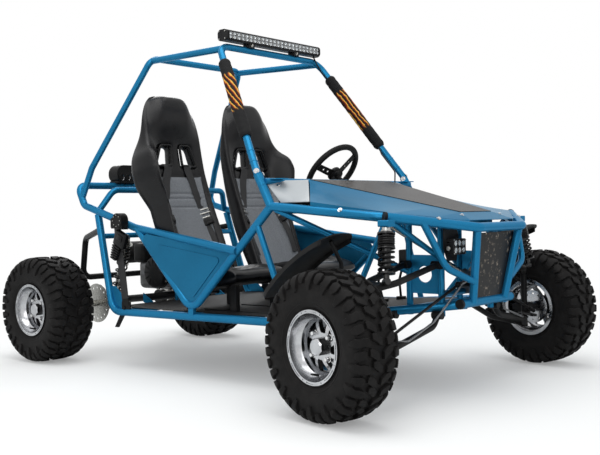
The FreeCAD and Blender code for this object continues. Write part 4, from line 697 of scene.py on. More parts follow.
def tyre_shape(half_width, pitches, lug_height):
    """Knobby tyre: a round-shouldered carcass with staggered blocks and long lugs down its walls."""
    half = carcass_line(half_width)
    outline = [(-p.x, p.y) for p in half[::-1]] + [(p.x, p.y) for p in half[1:]]
    shape = Shape()
    bead = half[-1].x - 0.006
    shape.turned(outline + [(bead, 0.130), (-bead, 0.130)], Vector(), Y_AXIS, 120)
    run = [0.0]
    for a, b in zip(half, half[1:]):
        run.append(run[-1] + (b - a).length)
    shoulder = next(run[i] for i, p in enumerate(half) if p.y < SHOULDER_RADIUS)

    def on_skin(distance):
        """The point at that distance from the tread's middle along the carcass, and the way out of it."""
        i = max(1, next((k for k, d in enumerate(run) if d >= distance), len(run) - 1))
        share = (distance - run[i - 1]) / (run[i] - run[i - 1])
        point = half[i - 1].lerp(half[i], share)
        along = (half[min(i + 1, len(half) - 1)] - half[i - 1]).normalized()
        return point, Vector((-along.y, along.x, 0))

    def lug(side, angle, stations):
        """One block of rubber on the carcass."""
        rows = []
        for share, low, high, full in stations:
            height = lug_height * full
            point, out = on_skin(share * shoulder)
            ring = []
            for across, lift in ((low - 0.0025, -0.0015), (low, height - 0.0012), (low + 0.0016, height),
                                 ((low + high) / 2, height + 0.0003), (high - 0.0016, height),
                                 (high, height - 0.0012), (high + 0.0025, -0.0015)):
                y = (point.x + out.x * lift) * side
                r = point.y + out.y * lift
                a = angle + across / point.y
                ring.append(Vector((r * math.sin(a), y, r * math.cos(a))))
            rows.append(ring)
        first, last = [[row[0].lerp(row[-1], i / (len(row) - 1)) for i in range(len(row))]
                       for row in (rows[0], rows[-1])]
        shape.rows([first] + rows + [last])

    pitch = 2 * math.pi / pitches
    for i in range(pitches):
        for side in (1, -1):
            angle = pitch * (i + (0.5 if side < 0 else 0.0))
            for turn, stations in LUGS:
                lug(side, angle + pitch * turn, stations)
    return shape


class BUGGY_OT_tyres(bpy.types.Operator):
    """Makes the four knobby tyres"""
    bl_idname = "buggy.tyres"
    bl_label = "Tyres"

    def execute(self, context):
        sizes = context.scene.buggy_tyres
        widths = {"front": sizes.front_half_width, "rear": sizes.rear_half_width}
        shapes = {kind: tyre_shape(half, sizes.pitches, sizes.lug_height) for kind, half in widths.items()}
        nodes = {"front_right": "front_tyre_right", "front_left": "front_tyre_left",
                 "rear_right": "rear_tyres", "rear_left": "rear_tyres"}
        for name, (place, body, kind) in WHEELS.items():
            tyre = shapes[kind].moved(place).piece("tyre_" + name, ["rubber"], 30, body=body)
            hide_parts(nodes[name])
        return {"FINISHED"}


class BUGGY_OT_rims(bpy.types.Operator):
    """Finishes the machined rims and adds their nuts and valves"""
    bl_idname = "buggy.rims"
    bl_label = "Rims"

    def execute(self, context):
        for name, (place, body, kind) in WHEELS.items():
            front = kind == "front"
            half_width = TYRE_HALF[kind]
            # One node holds both rear rims.
            if name != "rear_right":
                axis = Matrix.Rotation(STEER_AT_REST, 3, "Z") @ Y_AXIS if front else Y_AXIS
                metal = made_of("machined_aluminium_" + name, turned_aluminium, place.translation, axis)
                dress(metal, "front_rim_" + name.split("_")[1] if front else "rear_rims")
            hub = Y_AXIS * (half_width - HUB_INSET - 0.004)
            shape = Shape()
            for at in hoop(hub, Z_AXIS, X_AXIS, NUT_CIRCLE, 4, math.pi / 4 + 0.12):
                nut = ((0.0125, -0.006), (0.0125, 0.002), (0.0095, 0.003), (0.0095, 0.015), (0.0070, 0.019))
                shape.rows([hoop(at + Y_AXIS * d, Z_AXIS, X_AXIS, r, 6) for r, d in nut], ring=True)
            valve = Vector((0.0, half_width - 0.042, -0.1035))
            shape.tube([valve, valve + Vector((0, 0.012, 0.003)), valve + Vector((0, 0.034, 0.008))],
                       [0.0055, 0.0045, 0.0038], 12, 1)
            shape.moved(place).piece("wheel_nuts_" + name, ["chrome", "cable"], body=body)
        return {"FINISHED"}


# Springs and dampers


# Distance of a spring's seat from the strut's eye, and share of the divider on the way between the seats
SPRING_SEAT = 0.034
DIVIDER_SHARE = 0.36
STEPS_PER_TURN = 28


def strut_stations(top, bottom):
    """Distances down a strut: upper seat, divider and lower seat."""
    upper = SPRING_SEAT
    lower = (bottom - top).length - SPRING_SEAT
    return upper, upper + (lower - upper) * DIVIDER_SHARE, lower


def coil(shape, top, bottom, start, end, turns, radius, wire):
    """Round spring wire wound about a strut's line, with its end turns closed and ground flat."""
    along = (bottom - top).normalized()
    side = along.orthogonal().normalized()
    other = along.cross(side)
    steps = int(turns * STEPS_PER_TURN)
    path = []
    for i in range(steps + 1):
        share = i / steps
        turn = share * turns
        closed = min(turn, turns - turn, 1.0)
        run = start + wire + (end - start - 2 * wire) * share
        pull = (1.0 - closed) * wire * 0.9
        run += -pull if share < 0.5 else pull
        run = min(max(run, start + wire), end - wire)
        a = 2 * math.pi * turn
        path.append(top + along * run + (side * math.cos(a) + other * math.sin(a)) * radius)
    shape.tube(path, wire, 10)


class BUGGY_OT_springs(bpy.types.Operator):
    """Winds the four dual-rate coil springs"""
    bl_idname = "buggy.springs"
    bl_label = "Springs"

    def execute(self, context):
        sizes = context.scene.buggy_springs
        struts = (("front", FRONT_STRUT, sizes.front_radius), ("rear", REAR_STRUT, sizes.rear_radius))
        for end, strut, radius in struts:
            for side, name in reversed(SIDES):
                top, bottom = [mirrored(p, side) for p in strut]
                upper, divider, lower = strut_stations(top, bottom)
                shape = Shape()
                coil(shape, top, bottom, upper, divider - 0.002, sizes.upper_turns, radius, sizes.wire)
                coil(shape, top, bottom, divider + 0.002, lower, sizes.lower_turns, radius, sizes.wire)
                spring = shape.piece("spring_%s_%s" % (end, name), ["spring_black"])
                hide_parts("coil_springs")
        return {"FINISHED"}


# Seats


BACK_UP = (SEAT_TOP - SEAT_HIP).normalized()
BACK_OUT = Vector((BACK_UP.z, 0.0, -BACK_UP.x))
BACK_HEIGHT = (SEAT_TOP - SEAT_HIP).length
RUN = (SEAT_FRONT - SEAT_HIP).normalized()
RISE = Vector((-RUN.z, 0.0, RUN.x))
SLOT_LOW, SLOT_HIGH = 0.632, 0.735
# The seat back by share of its height: half widths inside and outside, depths of the inner edge and the wing
BACK_LINES = [
    (0.00, 0.190, 0.184, 0.060, 0.074), (0.12, 0.194, 0.184, 0.056, 0.074),
    (0.24, 0.196, 0.185, 0.050, 0.070), (0.36, 0.194, 0.186, 0.036, 0.070),
    (0.42, 0.192, 0.189, 0.032, 0.078), (0.47, 0.192, 0.216, 0.028, 0.104),
    (0.53, 0.192, 0.246, 0.026, 0.134), (0.60, 0.192, 0.258, 0.024, 0.156),
    (0.67, 0.194, 0.250, 0.028, 0.138), (0.72, 0.194, 0.226, 0.034, 0.072),
    (0.78, 0.192, 0.202, 0.042, 0.050), (0.86, 0.182, 0.188, 0.048, 0.050),
    (0.92, 0.160, 0.166, 0.048, 0.048), (0.965, 0.128, 0.132, 0.040, 0.040),
    (1.00, 0.084, 0.086, 0.018, 0.018),
]
BACK_ROWS = [
    0.0, 0.04, 0.09, 0.14, 0.20, 0.26, 0.32, 0.37, 0.405, 0.414, 0.420, 0.426,
    0.438, 0.452, 0.460, 0.466, 0.472, 0.482, 0.492, 0.498, 0.510, 0.54, 0.565, 0.575,
    0.60, SLOT_LOW, 0.655, 0.68, 0.708, SLOT_HIGH, 0.76, 0.79, 0.83, 0.87, 0.905, 0.940,
    0.968, 0.988, 1.000,
]
SEWN_LINES = (0.420, 0.466, 0.492, 0.575)
BACK_FOAM = 0.062
# The cushion's rows: distance forward, share of the full height, height of the underside
CUSHION_ROWS = [
    (-0.050, 0.35, 0.000), (-0.040, 0.75, -0.006), (-0.015, 0.96, -0.008), (0.03, 1.0, -0.008),
    (0.08, 1.0, -0.008), (0.128, 1.0, -0.008), (0.134, 0.97, -0.008), (0.140, 1.0, -0.008),
    (0.19, 1.0, -0.008), (0.228, 1.0, -0.008), (0.234, 0.97, -0.008), (0.240, 1.0, -0.008),
    (0.28, 1.0, -0.008), (0.31, 1.0, -0.006), (0.34, 0.97, -0.004), (0.365, 0.86, 0.000),
    (0.380, 0.66, 0.006), (0.387, 0.45, 0.014),
]
CLOTH_ROWS = 13
# Its columns: distance across, share of the bolster's height
CUSHION_COLUMNS = [
    (-0.176, 0.45), (-0.170, 0.92), (-0.146, 1.0), (-0.124, 0.72), (-0.104, 0.16), (-0.055, 0.0),
    (0.0, 0.0), (0.055, 0.0), (0.104, 0.16), (0.124, 0.72), (0.146, 1.0), (0.170, 0.92),
    (0.176, 0.45),
]
CLOTH_COLUMNS = range(4, 8)
# Heights of the foam: in the middle, at the inner and the outer bolster, and at the rolled front edge
FOAM_HEIGHT = 0.058
BOLSTER = (0.094, 0.116)
FRONT_ROLL = 0.066


def back_values(share):
    """Half widths and edge depths of the seat back at a share of its height."""
    for low, high in zip(BACK_LINES, BACK_LINES[1:]):
        if share <= high[0]:
            mix = (share - low[0]) / (high[0] - low[0])
            return [a + (b - a) * mix for a, b in zip(low[1:], high[1:])]
    return BACK_LINES[-1][1:]


def shell_depth(share):
    """How far the seat's shell bulges behind a straight back."""
    bulge = 0.060 * math.sin(math.pi * min(share / 0.84, 1.0))
    return -0.014 - bulge + 0.040 * eased((share - 0.70) / 0.22)


def slot_edges(share):
    """Distances of a harness slot's two edges from the middle, kept on above and below it."""
    down = max(0.0, min(1.0, (SLOT_HIGH - share) / (SLOT_HIGH - SLOT_LOW)))
    return 0.028 + 0.008 * down, 0.096 + 0.040 * down


def front_depth(across, share):
    """Depth of the seat back's face. across is positive towards the door."""
    inner, outer, inner_edge, wing = back_values(share)
    middle = shell_depth(share) + BACK_FOAM + 0.010 * eased((share - 0.76) / 0.08)
    half, edge = (outer, wing) if across > 0 else (inner, inner_edge)
    start = 0.55 * half if across > 0 else 0.62 * half
    rise = eased((abs(across) - start) / (0.90 * half - start))
    crown = 0.006 * math.cos(min(abs(across) / 0.12, 1.0) * math.pi / 2)
    # The face closes at the top, and a seam draws it in at each sewn line.
    close = min(1.0, (1.02 - share) / 0.05)
    sewn = sum(math.exp(-((share - line) / 0.003) ** 2) for line in SEWN_LINES) * (1.0 - rise)
    return (middle + crown) * close + (edge - middle * close) * rise - 0.005 * sewn


def back_place(side, across, share, depth):
    """A point of a seat back in the buggy's frame. across is positive towards the door."""
    return (Vector((SEAT_HIP.x - 0.020, side * (SEAT_HALF + across), SEAT_HIP.z))
            + BACK_OUT * depth + BACK_UP * (BACK_HEIGHT * share))


def on_face(side, across, share, lift=0.0):
    """A point that far in front of a seat back's face."""
    return back_place(side, across, share, front_depth(across, share) + lift)


def face_slope(side, across, share):
    """Way across a seat back's face, from 20 mm before a point to 20 mm behind it."""
    return on_face(side, across + 0.02, share) - on_face(side, across - 0.02, share)


def back_columns(share):
    """Distances from the middle of the columns of points across half of the seat back."""
    inner, outer = back_values(share)[:2]
    near, far = slot_edges(share)
    columns = []
    for half in (inner, outer):
        far_here = min(far, 0.70 * half)
        near_here = min(near, 0.30 * half)
        cloth = min(max(0.148, far_here + 0.008), 0.84 * half)
        columns.append([near_here, (near_here + far_here) / 2, far_here, cloth, (cloth + half - 0.014) / 2,
                        half - 0.014, half])
    return columns


def seat_back(side):
    """Bucket seat back with a wing on its door side, a low roll on the other and two harness slots."""
    rows = []
    for share in BACK_ROWS:
        inner, outer = back_columns(share)
        line = [-v for v in inner[::-1]] + [0.0] + outer
        thin = min(1.0, max(0.0, (1.02 - share) / 0.06 + 0.25))
        back = shell_depth(share)
        ring = []
        for k, across in enumerate(line):
            depth = front_depth(across, share)
            if k == 0:
                depth = back + (depth - back) * 0.40
            elif k == len(line) - 1:
                depth = back + (depth - back) * (0.12 + 0.28 * eased((share - 0.70) / 0.12))
                across *= 1.0 + 0.10 * eased((0.80 - share) / 0.16) * eased((share - 0.42) / 0.12)
            ring.append(back_place(side, across, share, depth))
        for k in range(len(line) - 2, 0, -1):
            across = line[k]
            round_off = 0.010 * eased((abs(across) - 0.7 * abs(line[0])) / (0.3 * abs(line[0])))
            ring.append(back_place(side, across, share, back + round_off + 0.012 * (1.0 - thin)))
        rows.append(ring)
    front = len(line)
    count = len(rows[0])
    shape = Shape()
    shape.rows(rows, ring=True)
    middle = front // 2
    for i in range(len(rows) - 1):
        for j in range(count):
            cloth = BACK_ROWS[i] < SEWN_LINES[-1] and middle - 4 <= j < middle + 4
            shape.finishes[i * count + j] = 2 if j >= front - 1 else 1 if cloth else 0
    # The slots are cut through both skins, and walls close their edges.
    slot_rows = range(BACK_ROWS.index(SLOT_LOW), BACK_ROWS.index(SLOT_HIGH))
    cut = set()
    walls = []
    for columns in (range(middle + 1, middle + 3), range(middle - 3, middle - 1)):
        cut |= {i * count + k for i in slot_rows for j in columns for k in (j, count - 1 - j)}
        for j in (columns[0], columns[-1] + 1):
            for a in [i * count for i in slot_rows]:
                walls.append([a + j, a + count + j, a + 2 * count - j, a + count - j])
        for a in (slot_rows[0] * count, (slot_rows[-1] + 1) * count):
            for j in columns:
                walls.append([a + j, a + j + 1, a + count - j - 1, a + count - j])
    kept = [k for k in range(len(shape.faces)) if k not in cut]
    shape.faces = [shape.faces[k] for k in kept] + walls
    shape.finishes = [shape.finishes[k] for k in kept] + [0] * len(walls)
    return shape


def rounded_loop(corners, radius):
    """Closed line through corners that are rounded off, as points."""
    steps = 5
    line = []
    for i, corner in enumerate(corners):
        before, after = corners[i - 1], corners[(i + 1) % len(corners)]
        start = corner + (before - corner).normalized() * radius
        end = corner + (after - corner).normalized() * radius
        for k in range(steps + 1):
            t = k / steps
            line.append(start * (1 - t) ** 2 + corner * 2 * t * (1 - t) + end * t * t)
    return line


def seat_cushion(side):
    """Seat cushion with bolsters that fall away to a rolled front edge."""
    rows = []
    for run, tall, low in CUSHION_ROWS:
        fall = eased((run - 0.20) / 0.17)
        ring = []
        for across, bolster in CUSHION_COLUMNS:
            peak = BOLSTER[across > 0] * (1.0 - fall) + FRONT_ROLL * fall
            crown = 0.004 * math.cos(across / 0.104 * 1.4)
            height = FOAM_HEIGHT + crown + (peak - FOAM_HEIGHT) * bolster
            if abs(across) == CUSHION_COLUMNS[-1][0]:
                height = 0.6 * peak
            ring.append((across, height * tall))
        bottom = [(across, low) for across in (0.168, 0.12, 0.0, -0.12, -0.168)]
        rows.append([Vector((SEAT_HIP.x, side * (SEAT_HALF + across), SEAT_HIP.z)) + RUN * run + RISE * up
                     for across, up in ring + bottom])
    count = len(rows[0])
    shape = Shape()
    shape.rows(rows, ring=True)
    for i in range(CLOTH_ROWS):
        for j in CLOTH_COLUMNS:
            shape.finishes[i * count + j] = 1
    return shape


# A shoulder strap behind the back and through its slot: share of the height, depth
STRAP_BEHIND = [(0.585, -0.052), (0.622, -0.050), (0.640, -0.030), (0.643, 0.000)]
# The strap down the back's face: distance from the middle, share of the height
STRAP_FRONT = [(0.066, 0.612), (0.085, 0.56), (0.098, 0.50), (0.112, 0.44), (0.124, 0.38), (0.134, 0.32),
               (0.140, 0.26), (0.142, 0.20), (0.140, 0.14)]
STRAP_WIDTH = 0.046
REEL_Y = 0.5135


def strap_line(side, hand):
    """Path of a shoulder strap over a seat back, with the direction across it at each point."""
    path = [back_place(side, hand * 0.070, share, depth) for share, depth in STRAP_BEHIND]
    path.append(back_place(side, hand * 0.071, 0.636, front_depth(hand * 0.071, 0.62) + 0.008))
    across = [Y_AXIS] * len(path)
    for v, share in STRAP_FRONT:
        v *= hand
        path.append(on_face(side, v, share, 0.005))
        across.append((face_slope(side, v, share).normalized() * side + Y_AXIS).normalized())
    return path, across


class BUGGY_OT_seats(bpy.types.Operator):
    """Makes the two bucket seats with their slot bezels and piping"""
    bl_idname = "buggy.seats"
    bl_label = "Seats"

    def execute(self, context):
        for side, name in SIDES:
            finishes = ["leatherette", "cloth", "seat_shell"]
            back = seat_back(side).piece("seat_back_" + name, finishes, 50, rounds=2)
            cushion = seat_cushion(side).piece("seat_cushion_" + name, finishes, 50, rounds=2)
            for pad in (back, cushion):
                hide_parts("seat_" + name)
            trim = Shape()
            for hand in (1, -1):
                corners = []
                for share, edge in ((SLOT_LOW, 1), (SLOT_HIGH, 1), (SLOT_HIGH, 0), (SLOT_LOW, 0)):
                    across = slot_edges(share)[edge]
                    corners.append(Vector((hand * across, share * BACK_HEIGHT, 0.0)))
                loop = [on_face(side, p.x, p.y / BACK_HEIGHT, 0.001) for p in rounded_loop(corners, 0.016)]
                trim.tube(loop, 0.0072, 10, loop=True)
                inside = [p - BACK_OUT * 0.020 for p in loop]
                trim.tube(inside, 0.0050, 8, loop=True)
                edge = [(hand * min(0.148, 0.80 * back_values(share)[0 if hand < 0 else 1]), share)
                        for share in [0.02 + 0.0275 * k for k in range(21)]]
                piping = [on_face(side, v, share, 0.0005) for v, share in edge]
                trim.tube(piping, 0.0028, 8, 1)
            trim.piece("seat_trim_" + name, ["bezel", "leatherette"], 50)
        return {"FINISHED"}


# Blocks of a strap's slide and of its buckle's cover: place, size, bevel, its segments, number of the finish
BUCKLES = {
    "slide": [
        *(((x, 0, z), (0.0065, 0.060, 0.005), 0.0018, 2, 1)
          for x, z in ((-0.022, 0.001), (0.0, 0.004), (0.022, 0.001))),
        *(((0, y, 0.001), (0.050, 0.0065, 0.005), 0.0018, 2, 1) for y in (-0.029, 0.029)),
    ],
    "cover": [
        ((0, 0, 0.002), (0.038, 0.054, 0.012), 0.004, 3, 2),
        ((0.010, 0, 0.0085), (0.012, 0.030, 0.004), 0.0015, 2, 2),
    ],
}


class BUGGY_OT_harness(bpy.types.Operator):
    """Makes the shoulder straps with their slides and buckles, and the reel webbing"""
    bl_idname = "buggy.harness"
    bl_label = "Harness"

    def execute(self, context):
        for side, name in SIDES:
            shape = Shape()
            for hand in (1, -1):
                path, across = strap_line(side, hand)
                fine = smooth_line(path, 4)
                wide = smooth_line(across, 4)
                shape.ribbon(fine, wide, STRAP_WIDTH, 0.0026)
                for share, kind, v in ((0.385, "slide", hand * 0.124), (0.340, "cover", hand * 0.131)):
                    here = on_face(side, v, share, 0.010)
                    down = (on_face(side, v * 1.03, share - 0.03, 0.010) - here).normalized()
                    out = face_slope(side, v, share).cross(down)
                    if out.x < 0:
                        out = -out
                    place = placing(here, down, out.normalized())
                    for at, size, bevel, segments, number in BUCKLES[kind]:
                        shape.block(place @ Matrix.Translation(at), size, bevel, segments, number)
            straps = shape.piece("harness_" + name, ["webbing", "steel", "bezel"], 40)
            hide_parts("harness_straps")
            reel = Shape()
            y = side * REEL_Y
            web = [(-0.548, y, 0.708), (-0.535, y + side * 0.004, 0.610), (-0.516, y, 0.470),
                   (-0.500, y, 0.352)]
            reel.ribbon(smooth_line(web, 6), X_AXIS, 0.050, 0.0062)
            lean = Matrix.Rotation(math.radians(24), 4, "Y")
            housing = Matrix.Translation((-0.512, y + side * 0.008, 0.650)) @ lean
            reel.block(housing, (0.086, 0.030, 0.080), 0.008, 3, 1)
            plate = housing @ Matrix.Translation((0.004, side * 0.016, 0.010))
            reel.block(plate, (0.040, 0.006, 0.030), 0.002, 2, 1)
            for k in range(6):
                fold = housing @ Matrix.Translation((-0.010, 0.0, -0.046 - 0.0125 * k))
                reel.block(fold, (0.060 - 0.003 * k, 0.034, 0.0095), 0.0040, 3, 1)
            for at in hoop(Vector((-0.505, side * 0.5525, 0.745)), X_AXIS, Z_AXIS, 0.028, 8):
                bolt(reel, placing(at, X_AXIS, Y_AXIS * side), 0.0032, 0.003, False, 2)
            reel.piece("reel_webbing_" + name, ["webbing", "bezel", "steel"], 40)
        return {"FINISHED"}


# Pillar sleeves, lamps and small fittings


class BUGGY_OT_sleeves(bpy.types.Operator):
    """Makes the two foam sleeves round the pillars"""
    bl_idname = "buggy.sleeves"
    bl_label = "Pillar sleeves"

    def execute(self, context):
        sizes = context.scene.buggy_sleeves
        for side, name in SIDES:
            low = mirrored(PILLAR_LOW, side)
            along = (mirrored(PILLAR_HIGH, side) - low).normalized()
            start = low + along * sizes.start
            out = (Y_AXIS * side - along * along.y * side).normalized()
            other = along.cross(out)
            rows = []
            steps, sides = 56, 48
            for i in range(steps + 1):
                share = i / steps
                run = share * sizes.length
                # The ends round off over 12 mm, and a stitched groove runs round 30 mm from each.
                ends = min(run, sizes.length - run)
                groove = 0.0016 * math.exp(-((ends - 0.030) / 0.004) ** 2)
                full = sizes.radius - 0.0065 * (1.0 - eased(ends / 0.012)) - groove
                ring = []
                for a in circle(sides):
                    seam = min(abs(a - SEAM_ANGLE), 2 * math.pi - abs(a - SEAM_ANGLE))
                    fold = 0.0005 * math.sin(3 * a + 9 * share) + 0.0004 * math.sin(run * 160 + 2 * a)
                    radius = full + fold - 0.0022 * math.exp(-(seam / 0.07) ** 2)
                    ring.append(start + along * run + (out * math.cos(a) + other * math.sin(a)) * radius)
                rows.append(ring)
            bore = [hoop(start + along * run, out, other, SLEEVE_BORE, sides)
                    for run in (sizes.length - 0.001, 0.001)]
            shape = Shape()
            shape.rows(rows + bore, ring=True, loop=True)
            print_ends = (0.30, 0.80) if side < 0 else (0.26, 0.80)
            cloth = made_of("printed_sleeve_" + name, sleeve_print, start, along, sizes.length, *print_ends)
            sleeve = shape.piece("pillar_sleeve_" + name, [cloth], 45)
            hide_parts("pillar_pads")
        return {"FINISHED"}


def dish(shape, centre, out, radius, depth, sides, rows):
    """Round reflector cup that opens along a direction, with a rim at its mouth."""
    steps = [k / rows for k in range(rows + 1)]
    outline = [(-depth * (1.0 - t ** 2), radius * (0.16 + 0.80 * t)) for t in steps]
    back = -depth - 0.001
    outline += [(0.0006, radius), (-0.0005, radius * 1.02), (back, radius * 0.5), (back, 0.0005)]
    shape.turned(outline, centre, out, sides)


def pane(shape, centre, out, radius, thickness, bulge, sides=24, finish_number=0):
    """Round lens, slightly domed."""
    outline = [(0.0, 0.0004), (0.0, radius), (thickness, radius)]
    for k in range(1, 5):
        r = radius * (1 - k / 4) + 0.0004
        outline.append((thickness + bulge * (1 - (r / radius) ** 2), r))
    shape.turned(outline, centre, out, sides, finish_number)


class BUGGY_OT_lamps(bpy.types.Operator):
    """Fills the light bar, the front pods and the rear lamp with their reflectors and lenses"""
    bl_idname = "buggy.lamps"
    bl_label = "Lamps"

    def execute(self, context):
        self.light_bar(context.scene.buggy_lamps)
        self.pods()
        self.rear_lamp()
        return {"FINISHED"}

    def light_bar(self, sizes):
        """Two rows of diodes in their cups behind one lens, and the bar's screws."""
        shape = Shape()
        face, middle, reach = 0.0985, 1.6175, 0.322
        for z in (middle - 0.009, middle + 0.009):
            for k in range(sizes.diodes):
                y = -reach + 2 * reach * k / (sizes.diodes - 1)
                dish(shape, Vector((0.0982, y, z)), X_AXIS, 0.0086, 0.0038, 14, 4)
                shape.block((0.0952, y, z), (0.0012, 0.0034, 0.0034), 0.0003, 1, 1)
        corners = [Vector((face, y * 0.3305, middle + z * 0.017))
                   for y, z in ((-1, -1), (1, -1), (1, 1), (-1, 1))]
        shape.tube(rounded_loop(corners, 0.006), 0.0024, 8, 2, loop=True)
        shape.tube([Vector((face, y, middle)) for y in (-0.329, 0.329)], 0.0014, 8, 2)
        for side in (-1, 1):
            for x in (0.048, 0.088):
                for z in (1.600, 1.635):
                    at = Vector((x, side * 0.345, z))
                    bolt(shape, placing(at, X_AXIS, Y_AXIS * side), 0.004, 0.003, False, 3)
            for end in (-1, 1):
                at = Vector((0.068 + end * 0.020, side * 0.165, 1.589))
                bolt(shape, placing(at, Y_AXIS, X_AXIS * end), 0.006, 0.006, True, 3)
        shape.piece("light_bar_rows", ["reflector", "chip", "lamp_black", "steel"])
        lens = Shape()
        lens.block((0.1000, 0, middle), (0.0014, 0.656, 0.031), 0.0004, 1)
        lens.piece("light_bar_lens", ["lens"])

    def pods(self):
        """Six lenses in each of the two pods on the nose."""
        shape = Shape()
        lens = Shape()
        for side in (-1, 1):
            middle = mirrored(POD_FACE, side)
            for across in (-0.029, 0.0, 0.029):
                for up in (-0.014, 0.014):
                    at = middle + Vector((0, across, up))
                    dish(shape, at, X_AXIS, 0.0112, 0.0066, 22, 5)
                    shape.block(at - X_AXIS * 0.0060, (0.0018, 0.0046, 0.0046), 0.0004, 1, 1)
                    ring = hoop(at + X_AXIS * 0.0006, Y_AXIS, Z_AXIS, 0.0122, 28)
                    shape.tube(ring, 0.0011, 6, 2, loop=True)
                    pane(lens, at + X_AXIS * 0.0004, X_AXIS, 0.0108, 0.0008, 0.0012)
            for across, up in ((-0.043, -0.027), (-0.043, 0.027), (0.043, -0.027), (0.043, 0.027)):
                at = middle + Vector((0.0002, across, up))
                bolt(shape, placing(at, Y_AXIS, X_AXIS), 0.0030, 0.0022, False, 3)
            for end in (-1, 1):
                at = middle + Vector((-0.0178, end * 0.053, -0.006))
                bolt(shape, placing(at, X_AXIS, Y_AXIS * end), 0.0062, 0.005, True, 3)
            shape.block(middle - X_AXIS * 0.0038, (0.003, 0.088, 0.058), 0.0012, 2, 0)
        shape.piece("pod_reflectors", ["reflector", "chip", "lamp_black", "steel"])
        lens.piece("pod_lenses", ["lens"])

    def rear_lamp(self):
        """Two small cups that face forward and one red lens that faces back."""
        shape = Shape()
        for y in (-0.206, -0.164):
            at = Vector((-0.8985, y, 0.985))
            dish(shape, at, X_AXIS, 0.0165, 0.009, 24, 5)
            ring = hoop(at + X_AXIS * 0.001, Y_AXIS, Z_AXIS, 0.0175, 30)
            shape.tube(ring, 0.0022, 8, 1, loop=True)
        pane(shape, REAR_LENS, -X_AXIS, 0.032, 0.003, 0.004, 36, 2)
        ring = hoop(REAR_LENS - X_AXIS * 0.0004, Y_AXIS, Z_AXIS, 0.0335, 40)
        shape.tube(ring, 0.0024, 8, 1, loop=True)
        shape.piece("rear_lamp_units", ["reflector", "bezel", "red_lens"])


# Bolts of the left half of the frame: place, direction out of the surface, radius of the head
FRAME_BOLTS = [
    ((0.481, 0.563, 0.948), (0.55, 0.74, 0.39), 0.0085),
    ((0.486, 0.532, 0.932), (0.33, -0.93, 0.18), 0.0080),
    ((0.540, 0.488, 0.884), (0.52, 0.28, 0.81), 0.0065),
    ((0.905, 0.529, 0.773), (0.14, 0.73, 0.67), 0.0065),
    ((1.240, 0.330, 0.731), (0.40, 0.13, 0.91), 0.0065),
    ((1.241, 0.157, 0.742), (0.35, 0.10, 0.93), 0.0060),
]


class BUGGY_OT_fittings(bpy.types.Operator):
    """Adds the bolts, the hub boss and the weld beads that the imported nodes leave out"""
    bl_idname = "buggy.fittings"
    bl_label = "Fittings"

    def execute(self, context):
        self.bolts()
        self.steering_boss()
        self.weld_beads(context.scene.buggy_fittings)
        return {"FINISHED"}

    def bolts(self):
        shape = Shape()
        for side in (-1, 1):
            for at, out, radius in FRAME_BOLTS:
                away = mirrored(out, side).normalized()
                bolt(shape, placing(mirrored(at, side), away.orthogonal(), away), radius, radius * 0.75)
        shape.piece("frame_bolts", ["chrome"], 30)

    def steering_boss(self):
        """Hub of the steering wheel with its six screws."""
        centre = Vector((0.221, 0.275, 0.975))
        tilt = math.radians(39)
        out = Vector((-math.cos(tilt), 0, math.sin(tilt)))
        shape = Shape()
        outline = [(-0.030, 0.0005), (-0.030, 0.036), (-0.026, 0.0385), (-0.012, 0.0385),
                   (-0.006, 0.034), (-0.004, 0.022), (-0.003, 0.0005)]
        shape.turned(outline, centre, out)
        side = out.orthogonal().normalized()
        for at in hoop(centre - out * 0.0065, side, out.cross(side), 0.029, 6):
            bolt(shape, placing(at, side, out), 0.0036, 0.003, False, 1)
        shape.piece("steering_boss", ["lamp_black", "steel"], body="steering_column")

    def weld_beads(self, sizes):
        """Rippled fillets round the feet of the pillars."""
        shape = Shape()
        for side in (-1, 1):
            low = mirrored(PILLAR_LOW, side)
            way = (mirrored(PILLAR_HIGH, side) - low).normalized()
            first = way.orthogonal().normalized()
            for run in (0.052, 0.110):
                ring = hoop(low + way * run, first, way.cross(first), PILLAR_TUBE - 0.0004, 72)
                radii = [sizes.bead * (1.0 + 0.18 * math.sin(k * math.pi / 2)) for k in range(72)]
                shape.tube(ring, radii, 8, loop=True)
        shape.piece("weld_beads", ["blue"], 60)


